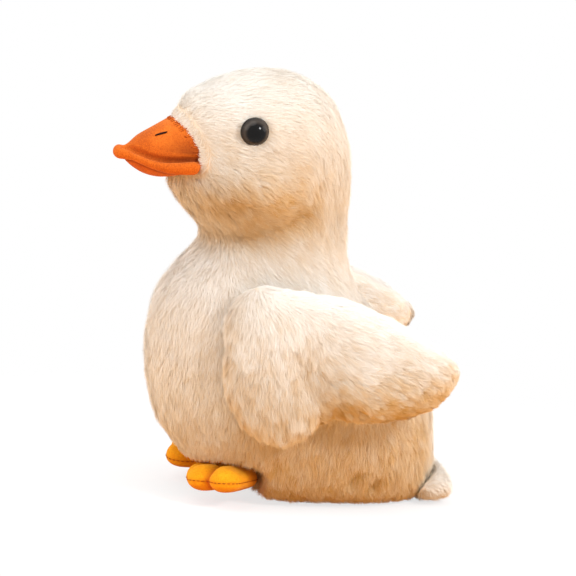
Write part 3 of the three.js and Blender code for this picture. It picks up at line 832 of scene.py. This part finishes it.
def body_comb(p, at):
    """Which way the pile of the body and the head is combed."""
    x = p[:, 0]
    on_head = unit(unit(p - BEAK_MIDDLE) + HEAD_COMB)
    on_head = unit(bend(on_head, NAPE_COMB, at["nape"]))
    on_body = unit(np.stack([0.1 * np.sign(x), -0.08 + 0.55 * at["back"], -at["all"]], 1))
    on_body = unit(bend(on_body, RUMP_COMB, at["rump"]))
    comb = unit(bend(on_body, on_head, at["head"]))
    inwards = [-0.5 * np.sign(x), 0.5 - 0.2 * at["rear_skirt"], -0.7 * at["all"]]
    comb = unit(bend(comb, unit(np.stack(inwards, 1)), at["skirt"]))
    return unit(bend(comb, COLLAR_COMB, 0.6 * at["collar"]))


def fur_pieces(name, points, normal, wide, tone, material, seed):
    """The strands as meshes of a limited size, each with strands from all over."""
    made = []
    count = len(points)
    parts = max(1, math.ceil(count / STRANDS_PER_MESH))
    order = np.random.default_rng(seed).permutation(count)
    for i in range(parts):
        pick = np.sort(order[i::parts])
        label = name if parts == 1 else name + "_" + "abcdefghijkl"[i]
        chosen = (part[pick] for part in (points, normal, wide, tone))
        made.append(ribbons(label, *chosen, seed + i, material))
    return made


def height_over(tree, p):
    """How far outside a closed surface each point lies, negative within it."""
    high = np.zeros(len(p))
    for i, q in enumerate(p):
        place, facing, _, far = tree.find_nearest(q)
        high[i] = far if (Vector(q) - place).dot(facing) > 0 else -far
    return high


def fur_body(skin, beak, material):
    def weight(p, n):
        x, y, z = p.T
        w = 1.0 + 0.25 * step(z, 118, 150)
        flat_on = step(-n[:, 2], 0.8, 0.97) * (1 - step(z, 4, 12))
        w = w * (1 - 0.85 * flat_on)
        eye = np.hypot(y - EYE_AT[1], z - EYE_AT[2])
        w = np.where((eye < EYE_RADIUS - 0.4) & (np.abs(x) > 20), 0, w)
        covered = (np.abs(x) > 38) & (y > -10) & (y < 60) & (z > 45) & (z < 92)
        return np.where(covered, w * 0.4, w)

    root, normal = sow(skin, thin(BODY_STRANDS), weight, 5)
    close = (root[:, 1] < -34) & (root[:, 2] > 150) & (root[:, 2] < 194)
    gap = np.full(len(root), 99.0)
    gap[close] = height_over(beak, root[close])
    keep = gap > 0.3
    root, normal, gap = root[keep], normal[keep], gap[keep]
    at = body_regions(root, normal)
    rough = at["rough"]
    edge = 1 - step(gap, 1.0, 4.5)
    comb = unit(bend(body_comb(root, at), unit(BEAK_END - root), edge))
    length = mixed(BODY_LENGTH, at) * left_by(BODY_SHORTER, at) * (1 - 0.5 * edge)
    rise = [mixed(part, at) for part in BODY_RISE]
    # The tone: a slight tint, with painted shade and painted light by region, then random variation
    tone = mixed(BODY_TINT_AND_SHADE, at) * left_by(BODY_PAINTED_LIGHT, at)
    r = np.random.default_rng(8)
    n = len(root)
    length = length * r.uniform(0.7, 1.12, n)
    clump, loose = 0.05 + 0.5 * rough, 0.2 + 0.12 * rough
    points, guide = grow(root, normal, comb, length, rise, 21, clump, loose, 7)
    tone = tone + (0.03 + 0.07 * rough) * ripple(root, 16, 3)
    tone = tone + r.normal(0, 0.05, n) + r.normal(0, 0.09, n)[guide] * rough
    wide = r.uniform(*STRAND_WIDE, n)
    for ob in fur_pieces("pile_body_head", points, normal, wide, tone, material, seed=31):
        across_neck(ob)


# Wings

WING_STRANDS = 105000

# As for the body, and along a slant, up over the hem, or by how far the cloth faces back or inwards
REAR_LOBE, FRONT_LOBE = ("slant", 4, 22), ("slant", 22, 4)
WING_REGIONS = {
    "rear": [REAR_LOBE],
    "top": [("up", 0.35, 0.9)],
    "rim": [("up", 0.0, 0.9), ("y", 40, 12), ("z", 84, 104), ("faces_back", -0.7, -0.2)],
    "behind_lobe": [("y", -24, 6)],
    "tip": [("y", 58, 80)],
    "tip_down": [("y", 68, 82)],
    "tip_end": [("y", 76, 85)],
    "long_front": [FRONT_LOBE, ("z", 92, 55)],
    "rear_hem": [REAR_LOBE, ("over_hem", 20, 4)],
    "front_hem": [FRONT_LOBE, ("over_hem", 20, 4)],
    "inner": [("faces_in", 0.2, 0.6)],
    "high": [("z", 70, 100)],
    "faces_up": [("up", 0.0, 0.6)],
    "low_rear": [REAR_LOBE, ("over_hem", 32, 4)],
    "under": [("up", 0.0, -0.7)],
    "low_front": [FRONT_LOBE, ("z", 92, 44)],
    "low": [("z", 100, 66)],
    "low_fold": [("z", 80, 56)],
}
WING_ROUGH = {"all": 1.0, "even": -0.8, "tip": -0.3}
WING_LENGTH = {"all": 9.0, "long_front": 3.5, "top": -2.2, "tip": -2.5}
WING_HEM = {"rear_hem": 0.42, "front_hem": 0.15}
WING_SHORTER = {"inner": 0.45, "tip_end": 0.45}
# Painted shade: golden under the rear lobe, low down, underneath and in the folds; painted light: the
# top is a little paler
WING_TINT_LIGHT_AND_SHADE = {
    "all": 0.05, "low_rear": 0.60, "under": 0.12, "low_front": 0.24, "low": 0.12, "top": -0.06,
    "lobe_fold": 0.26, "breast_fold": 0.24,
}
# Painted light: the inner side and the far wing's tip are paler
WING_PAINTED_LIGHT = {"inner": 0.6, "far_tip": 0.6}
WING_RISE = [{"all": 25, "rough": -2, "sleek": -12}, {"all": 4, "tip": -2}]


def wing_form(side):
    nodes = ["wing_%s_skin" % side, "wing_%s_stuffing" % side]
    skin = copy_of("cloth_wing_" + side, nodes)
    remesh(skin, 1.9, smooth=5)
    p = points_of(skin)
    sign = SIDES[side]
    outer = step(normals_of(skin)[:, 0] * sign, -0.1, 0.5)
    depth = 2.1 + 2.6 * step(p[:, 1], 66, 86)
    depth += outer * 4.0 * near(p, WING_FOLD[2:], 7.5)
    depth -= outer * 2.6 * near(p + [0, -19, -3], WING_FOLD, 13)
    depth -= outer * near(p + [0, 17, 0], WING_FOLD, 11)
    depth += 1.2 * (1 - step(p[:, 1], -28, -14))
    draw_in(skin, depth)
    p = points_of(skin)
    above = p[:, 2] - np.interp(p[:, 1], HEM_Y, HEM_Z)
    p[:, 2] += 6.0 * (1 - step(above, -4, 26))
    if side == "right":
        p[:, 2] += 5.5 * step(p[:, 1], 4, 44)
    set_points(skin, p)
    remesh(skin, 1.9, smooth=2)
    return skin


def wing_regions(p, n, sign):
    """How far each point is into each region of a wing, from 0 to 1."""
    y, z = p[:, 1], p[:, 2]
    slant, over_hem = y + (80 - z) * 0.12, z - np.interp(y, HEM_Y, HEM_Z)
    facing = {"faces_back": n[:, 1], "faces_in": -n[:, 0] * sign}
    at = regions(WING_REGIONS, p, n, slant=slant, over_hem=over_hem, **facing)
    at["rim"] = at["rim"] * (0.25 + 0.75 * at["behind_lobe"])
    at["even"] = at["high"] * (0.4 + 0.6 * at["faces_up"])
    # low_rear, lobe_fold and breast_fold mark painted shade; far_tip marks painted light, on the
    # right wing's tip only
    at["low_rear"] = at["low_rear"] * (1 - 0.5 * at["tip"])
    at["lobe_fold"] = near(p, WING_FOLD, 6) * at["low_fold"]
    at["breast_fold"] = near(p, BREAST_SIDE, 6)
    at["far_tip"] = at["tip"] * (sign < 0)
    at["sleek"] = np.maximum(at["top"], at["tip"])
    at["rough"] = mixed(WING_ROUGH, at)
    return at


def wing_comb(at, sign):
    """Which way a wing's pile is combed: down on its front lobe, back on its rear one."""
    down = unit(np.array([0.05 * sign, 0.10, -1]))
    sweep = unit(np.array([0.12 * sign, 1, -0.42]))
    comb = unit(bend(down, sweep, at["rear"]))
    comb = unit(bend(comb, unit(np.array([0.0, 1, 0.1])), at["rim"]))
    return unit(bend(comb, unit(np.array([0, 0.35, -1])), 0.75 * at["tip_down"]))


def fur_wing(skin, side, material):
    sign = SIDES[side]

    def weight(p, n):
        inner = step(-n[:, 0] * sign, 0.3, 0.7)
        return 1 - 0.6 * inner

    root, normal = sow(skin, thin(WING_STRANDS), weight, 51)
    at = wing_regions(root, normal, sign)
    rough = at["rough"]
    comb = wing_comb(at, sign)
    length = mixed(WING_LENGTH, at) * (1 - mixed(WING_HEM, at)) * left_by(WING_SHORTER, at)
    rise = [mixed(part, at) for part in WING_RISE]
    # The tone: a slight tint, with painted shade and painted light by region, then random variation
    tone = mixed(WING_TINT_LIGHT_AND_SHADE, at) * left_by(WING_PAINTED_LIGHT, at)
    r = np.random.default_rng(52)
    n = len(root)
    length = length * r.uniform(0.65, 1.12, n)
    clump, loose = 0.06 + 0.56 * rough, 0.16 + 0.12 * rough
    points, guide = grow(root, normal, comb, length, rise, 55, clump, loose, 8)
    tone = tone + (0.03 + 0.10 * rough) * ripple(root, 14, 56)
    tone = tone + r.normal(0, 0.05, n) + r.normal(0, 0.12, n)[guide] * rough
    wide = r.uniform(*STRAND_WIDE, n)
    for ob in fur_pieces("pile_wing_" + side, points, normal, wide, tone, material, seed=57):
        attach(ob, "wing_" + side)


def make_wings(fur, backing):
    for side in SIDES:
        skin = wing_form(side)
        skin.data.materials.append(backing)
        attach(skin, "wing_" + side)
        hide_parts("wing_%s_skin" % side, "wing_%s_stuffing" % side)
        fur_wing(skin, side, fur)


# Tail

TAIL_STRANDS = 20000


def tail_weight(p, n):
    """Few strands where the tail is inside the body."""
    return 1 - 0.8 * step(70 - p[:, 1], 0, 4)


def make_tail(fur, backing):
    skin = copy_of("cloth_tail", ["tail_skin", "tail_stuffing"])
    remesh(skin, 1.2, smooth=10)
    draw_in(skin, 0.5)
    skin.data.materials.append(backing)
    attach(skin, "tail")
    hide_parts("tail_skin", "tail_stuffing")
    root, normal = sow(skin, thin(TAIL_STRANDS), tail_weight, 71)
    n = len(root)
    r = np.random.default_rng(72)
    comb = unit(np.array([0, 0.8, -0.6]) + r.normal(0, 0.2, (n, 3)))
    length = 6.0 * r.uniform(0.6, 1.15, n)
    even = np.full(n, 0.35)
    points, _ = grow(root, normal, comb, length, (26.0, 5.0), 73, even, even, 7)
    # Painted shade: darker where the tail faces down, over a slight tint and random variation
    tone = 0.15 + 0.3 * np.clip(-normal[:, 2], 0, 1) + r.normal(0, 0.07, n)
    wide = r.uniform(*STRAND_WIDE, n)
    for ob in fur_pieces("pile_tail", points, normal, wide, tone, fur, seed=74):
        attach(ob, "tail")


# Beak, feet and eyes

# Along the beak from its base: y, half width, rise of the crown and height of the lip
BEAK_ROWS = [
    (-43.2, 27.2, 27.0, 165.6),
    (-51.1, 25.6, 24.6, 164.6),
    (-57.7, 22.9, 21.6, 163.8),
    (-63.4, 19.6, 18.3, 163.7),
    (-69.2, 15.3, 14.0, 164.6),
    (-74.1, 10.8, 9.6, 166.0),
    (-77.9, 7.0, 5.0, 167.0),
    (-80.6, 4.2, 3.2, 167.3),
    (-82.4, 1.6, 3.0, 167.3),
]
LIP_Y = [-82.4, -80.0, -76.0, -67.5, -58.0, -50.0, -43.0]
LIP_RADIUS = [3.4, 3.0, 2.2, 2.5, 3.2, 3.6, 3.6]
NOSTRIL = [(9.4, -66.6, 177.3), (10.2, -64.9, 178.1), (11.1, -63.1, 178.8), (11.9, -61.4, 179.5)]


def along_rows(rows, count):
    """The rows of a table joined by a smooth curve, at count even places."""
    rows = np.array(rows)
    t = np.linspace(0, len(rows) - 1, count)
    i = np.minimum(t.astype(int), len(rows) - 2)
    f = (t - i)[:, None]
    slope = np.gradient(rows, axis=0)
    a, b, da, db = rows[i], rows[i + 1], slope[i], slope[i + 1]
    h = f * f * (3 - 2 * f)
    return a * (1 - h) + b * h + (f - 2 * f**2 + f**3) * da + (f**3 - f**2) * db


def loft(bm, rings):
    """Joins closed rings of as many points each, with a fan at either end."""
    made = [[bm.verts.new(Vector(q) * MM) for q in ring] for ring in rings]
    k = len(made[0])
    for a, b in zip(made[:-1], made[1:]):
        for i in range(k):
            bm.faces.new((a[i], a[(i + 1) % k], b[(i + 1) % k], b[i]))
    for ring, turned in ((made[0], True), (made[-1], False)):
        middle = bm.verts.new(sum((v.co for v in ring), Vector()) / k)
        for i in range(k):
            pair = (ring[(i + 1) % k], ring[i]) if turned else (ring[i], ring[(i + 1) % k])
            bm.faces.new((*pair, middle))


def tube_rings(path, radii, sides):
    path = np.asarray(path, float)
    go = unit(np.gradient(path, axis=0))
    turn = np.linspace(0, 2 * math.pi, sides, endpoint=False)
    rings = []
    for q, d, radius in zip(path, go, radii):
        a = unit(np.cross(d, (0.0, 0, 1) if abs(d[2]) < 0.9 else (1.0, 0, 0)))
        b = np.cross(a, d)
        rings.append(q + radius * (np.cos(turn)[:, None] * a + np.sin(turn)[:, None] * b))
    return rings


def mesh_of(name, lofts):
    bm = bmesh.new()
    for rings in lofts:
        loft(bm, rings)
    bmesh.ops.recalc_face_normals(bm, faces=bm.faces)
    return linked(name, bm)


def oval(y, half, height, over, under, sides):
    """A ring across y that reaches over its height by one length and under it by another."""
    turn = np.linspace(0, 2 * math.pi, sides, endpoint=False)
    reach = np.where(np.sin(turn) > 0, over, under)
    return np.stack([half * np.cos(turn), np.full(sides, y), height + reach * np.sin(turn)], 1)


def threads(name, paths, radius, colour, sides=6):
    """Short lengths of sewing thread, thinner at their ends."""
    lofts = []
    for path in paths:
        count = len(path)
        radii = radius * np.sin(np.linspace(0.35, math.pi - 0.35, count)) ** 0.5
        lofts.append(tube_rings(path, radii, sides))
    ob = mesh_of(name, lofts)
    ob.data.materials.append(cloth_material(name, colour, darker(colour, 0.7), 900, 0.7))
    shade_smooth(ob)
    return ob


def on_surface(tree, p, lift):
    """The nearest point of a surface to p, raised by lift."""
    place, facing, _, _ = tree.find_nearest(Vector(p))
    return np.array(place + facing * lift)


def tree_of(ob):
    p, _, tri = surface(ob)
    return BVHTree.FromPolygons([Vector(q) for q in p], tri.tolist())


def make_upper_beak(rows):
    """A crowned form with a rolled lip round its edge and a crease over the lip."""
    edge = [(half, y, lip) for y, half, _, lip in rows]
    edge = np.array(edge + [(-x, y, z) for x, y, z in reversed(edge)])
    for _ in range(3):
        edge[1:-1] = (edge[:-2] + 2 * edge[1:-1] + edge[2:]) / 4
    radii = np.interp(edge[:, 1], LIP_Y, LIP_RADIUS)
    from_end = np.maximum(edge[3, 1] - edge[:, 1], 0)
    radii = radii * np.sqrt(np.clip(1 - (1 - from_end / 3.2).clip(0, 1) ** 2, 0.05, 1))
    crown = [oval(y, max(half - 0.9, 0.4), lip, rise, 2.2, 56) for y, half, rise, lip in rows]
    upper = mesh_of("fleece_beak_upper", [crown, tube_rings(edge[3:-3], radii[3:-3], 20)])
    remesh(upper, 0.6, smooth=3)
    p = points_of(upper)
    x, y, z = p.T
    crease = edge[4 : len(edge) // 2 - 8] - [0.9, 0, 0]
    crease[:, 2] += np.interp(crease[:, 1], LIP_Y, LIP_RADIUS) + 0.1
    groove = gap_to(np.stack([np.abs(x), y, z], 1), crease)
    draw_in(upper, 2.0 * np.exp(-((groove / 1.5) ** 2)))
    p = points_of(upper)
    # Painted shade: darker in the crease over the lip, most towards the back, and broadly on the
    # beak's lower rear
    behind = step(p[:, 1], -70, -50) * (1 - step(p[:, 2], 166, 178)) * step(p[:, 2], 166, 168)
    forward = 0.35 + 0.65 * step(p[:, 1], -76, -56)
    broad = step(p[:, 1], -70, -48) * np.exp(-((np.maximum(p[:, 2] - 170, 0) / 9) ** 2))
    broad = broad * step(np.abs(p[:, 0]), 10, 18) * step(p[:, 2], 170, 171.5)
    shade(upper, 0.7 * forward * np.exp(-((groove / 1.7) ** 2)) + 0.3 * behind + 0.6 * broad)
    upper.data.materials.append(fleece_material("fleece_orange", *ORANGE))
    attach(upper, "head")
    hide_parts("beak_upper", "beak_stuffing")
    return upper


def make_lower_beak(rows):
    under = rows[:-9].copy()
    under[:, 1] *= np.linspace(0.97, 0.86, len(under))
    along = np.linspace(0, 1, len(under))
    deep = 6.5 * (0.84 + 0.34 * np.sin(math.pi * along) ** 1.2) * (1 - 0.6 * along**6)
    rings = [oval(y - 1.0, half, lip, 0.5, d, 48) for (y, half, _, lip), d in zip(under, deep)]
    lower = mesh_of("fleece_beak_lower", [rings])
    remesh(lower, 0.6, smooth=4)
    p = points_of(lower)
    # Painted shade: a dark band just under the upper beak's lip
    lip = np.interp(p[:, 1], rows[::-1, 0], rows[::-1, 3]) - np.interp(p[:, 1], LIP_Y, LIP_RADIUS)
    shade(lower, 0.8 * np.exp(-(((p[:, 2] - lip) / 1.1) ** 2)))
    lower.data.materials.append(fleece_material("fleece_orange_shaded", *ORANGE_SHADED))
    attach(lower, "head")
    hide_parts("beak_lower")


def make_nostrils(tree):
    """Each nostril is two bars of satin stitch."""
    nostrils = []
    for sign in (1, -1):
        for off in (-0.3, 0.3):
            line = [on_surface(tree, (sign * x, y, z + off), 0.25) for x, y, z in NOSTRIL]
            nostrils.append(line)
    bars = threads("thread_nostrils", nostrils, 0.42, (44, 14, 6))
    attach(bars, "head")


def sew_beak(upper_tree, skin_tree):
    """Stitches over the beak's base, where its edge meets the pile."""
    rows = along_rows(BEAK_ROWS, 120)
    paths = []
    r = np.random.default_rng(15)
    for turn in np.radians(np.linspace(4, 176, 40) + r.normal(0, 1.2, 40)):
        line = []
        for y, half, rise, lip in rows[::-1]:
            q = np.array([(half - 1.1) * math.cos(turn), y, lip + rise * math.sin(turn)])
            place, facing, _, _ = skin_tree.find_nearest(Vector(q))
            if (Vector(q) - place).dot(facing) < 2.2:
                line.append(q)
            if len(line) > 7:
                break
        if len(line) > 5:
            start, end = line[0], line[r.integers(3, len(line))] + r.normal(0, 0.35, 3)
            path = [start + (end - start) * t for t in np.linspace(0, 1, 6)]
            paths.append([on_surface(upper_tree, q, 0.1) for q in path])
    ob = threads("thread_beak_base", paths, 0.26, (216, 104, 30))
    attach(ob, "head")


FOOT_PIVOT = (26.0, -17.15)
FOOT_TILT = 7.0
FOOT_OUT = 30.0
TOES = [(-35.0, 19.0), (-7.0, 22.0), (31.0, 22.0)]
TOE_RADIUS = 8.2
FOOT_SEAM, FOOT_UP, FOOT_DOWN = 11.2, 7.0, 4.6
FOOT_PRESSURE, FOOT_SWELL = 40.0, 0.6
FOOT_PLACES, FOOT_RINGS = 168, 22
DASH, DASH_STEP = 1.8, 2.5


def foot_reach(turn):
    best = np.full_like(turn, TOE_RADIUS)
    for middle, toe in TOES:
        off = np.abs(turn - math.radians(middle))
        across = toe * np.sin(off)
        round_toe = toe * np.cos(off) + np.sqrt(np.maximum(TOE_RADIUS**2 - across**2, 0))
        straight = TOE_RADIUS / np.maximum(np.sin(off), 1e-6)
        ahead = off < math.atan2(TOE_RADIUS, toe)
        reach = np.where(ahead, round_toe, np.where(off < math.pi / 2, straight, 0))
        best = np.maximum(best, reach)
    return best


def toe_gap(flat):
    """Distance on the foot's plane to the two lines between its toes."""
    best = np.full(len(flat), 1e9)
    for first, second in zip(TOES[:-1], TOES[1:]):
        a = math.radians((first[0] + second[0]) / 2)
        go = np.array([math.sin(a), -math.cos(a)])
        t = np.clip(flat @ go, 13, 40)
        best = np.minimum(best, np.linalg.norm(flat - t[:, None] * go, axis=1))
    return best


def foot_place(side):
    sign = SIDES[side]
    return (
        Matrix.Translation((sign * FOOT_PIVOT[0], FOOT_PIVOT[1], 0))
        @ Matrix.Rotation(math.radians(-sign * FOOT_TILT), 4, "Y")
        @ Matrix.Rotation(math.radians(sign * FOOT_OUT), 4, "Z")
    )


def placed(points, turn):
    m = np.array(turn)
    return points @ m[:3, :3].T + m[:3, 3]


def foot_rim():
    turn = np.linspace(-math.pi, math.pi, FOOT_PLACES, endpoint=False)
    reach = foot_reach(turn)
    for _ in range(2):
        reach = (np.roll(reach, 1) + 2 * reach + np.roll(reach, -1)) / 4
    return np.stack([reach * np.sin(turn), -reach * np.cos(turn)], 1)


def foot_form(side, rim, place):
    """Both halves of a foot, swollen over and under the seam and drawn in between its toes."""
    rings = []
    shares = np.sin(np.linspace(0.04, 1, FOOT_RINGS) * math.pi / 2)
    for sign, height, order in ((1, FOOT_UP, shares), (-1, FOOT_DOWN, shares[::-1][1:])):
        for t in order:
            flat = rim * t
            away = np.linalg.norm(flat[:, None, :] - rim[None, :, :], axis=2).min(1)
            swell = np.sqrt(1 - (1 - np.clip(away / 7.6, 0, 1)) ** 2)
            swell = swell * (1 - 0.5 * np.exp(-((toe_gap(flat) / 2.4) ** 2)))
            z = FOOT_SEAM + sign * (0.15 + height * swell)
            rings.append(placed(np.column_stack([flat, z]), place))
    foot = mesh_of("fleece_foot_" + side, [rings])
    remesh(foot, 0.9, smooth=1)
    inflate(foot, FOOT_PRESSURE, FOOT_SWELL)
    p = (points_of(foot) - np.array(place.translation)) @ np.array(place.to_3x3())
    # Painted shade: darker between the toes, on the lower half below the seam and along the seam
    crease = 0.75 * np.exp(-((toe_gap(p[:, :2]) / 1.7) ** 2))
    crease = crease + 0.45 * step(FOOT_SEAM - p[:, 2], 1.0, 4.5)
    shade(foot, crease + 0.35 * np.exp(-(((p[:, 2] - FOOT_SEAM) / 0.8) ** 2)))
    return foot


def foot_stitches(tree, rim, place):
    """The dashes of thread along a foot's seam."""
    seam = placed(np.column_stack([rim * 1.01, np.full(FOOT_PLACES, FOOT_SEAM)]), place)
    far = np.concatenate([[0], np.cumsum(np.linalg.norm(np.diff(seam, axis=0), axis=1))])
    paths = []
    for start in np.arange(0, far[-1] - DASH, DASH_STEP):
        at = np.linspace(start, start + DASH, 5)
        dash = np.stack([np.interp(at, far, seam[:, i]) for i in range(3)], 1)
        paths.append([on_surface(tree, q, 0.1) for q in dash])
    return paths


def make_feet():
    fleece = fleece_material("fleece_yellow", *YELLOW)
    rim = foot_rim()
    for side in SIDES:
        foot = foot_form(side, rim, foot_place(side))
        foot.data.materials.append(fleece)
        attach(foot, "foot_" + side)
        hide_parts(*["foot_%s_%s" % (side, part) for part in ("upper", "sole", "stuffing")])
        paths = foot_stitches(tree_of(foot), rim, foot_place(side))
        ob = threads("thread_foot_" + side, paths, 0.2, (188, 92, 14))
        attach(ob, "foot_" + side)


def make_eyes():
    turn = np.linspace(0, 2 * math.pi, 64, endpoint=False)
    for side, sign in SIDES.items():
        rings = []
        for share in np.sin(np.linspace(1, 0.02, 24) * math.pi / 2):
            reach = EYE_RADIUS * share
            x = EYE_BASE + EYE_HEIGHT * math.sqrt(max(1 - share**2, 0))
            ring = np.stack([np.full(64, x), reach * np.cos(turn), reach * np.sin(turn)], 1)
            rings.append((ring + EYE_AT) * [sign, 1, 1])
        dome = mesh_of("eye_print_dome_" + side, [rings])
        shade_smooth(dome)
        dome.data.materials.append(eye_material(side))
        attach(dome, "head")
        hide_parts("eye_%s_dome" % side, "eye_%s_stem" % side)
        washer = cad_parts["eye_%s_washer" % side]
        washer.data.materials.clear()
        washer.data.materials.append(plastic_material("eye_washer_" + side, (226, 226, 222), 0.5))


# The whole scene

make_camera()
make_light()
make_floor()
beak_rows = along_rows(BEAK_ROWS, 60)
beak_tree = tree_of(make_upper_beak(beak_rows))
make_lower_beak(beak_rows)
make_nostrils(beak_tree)
make_feet()
body = make_body()
sew_beak(beak_tree, tree_of(body))
pile = pile_material("pile", SHADED_ROOTS, TIPS)
make_tail(pile, body.data.materials[0])
across_neck(body)
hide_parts(*BODY_NODES)
fur_body(body, beak_tree, pile)
make_wings(pile, body.data.materials[0])
make_eyes()

bpy.context.scene.view_settings.view_transform = "Standard"
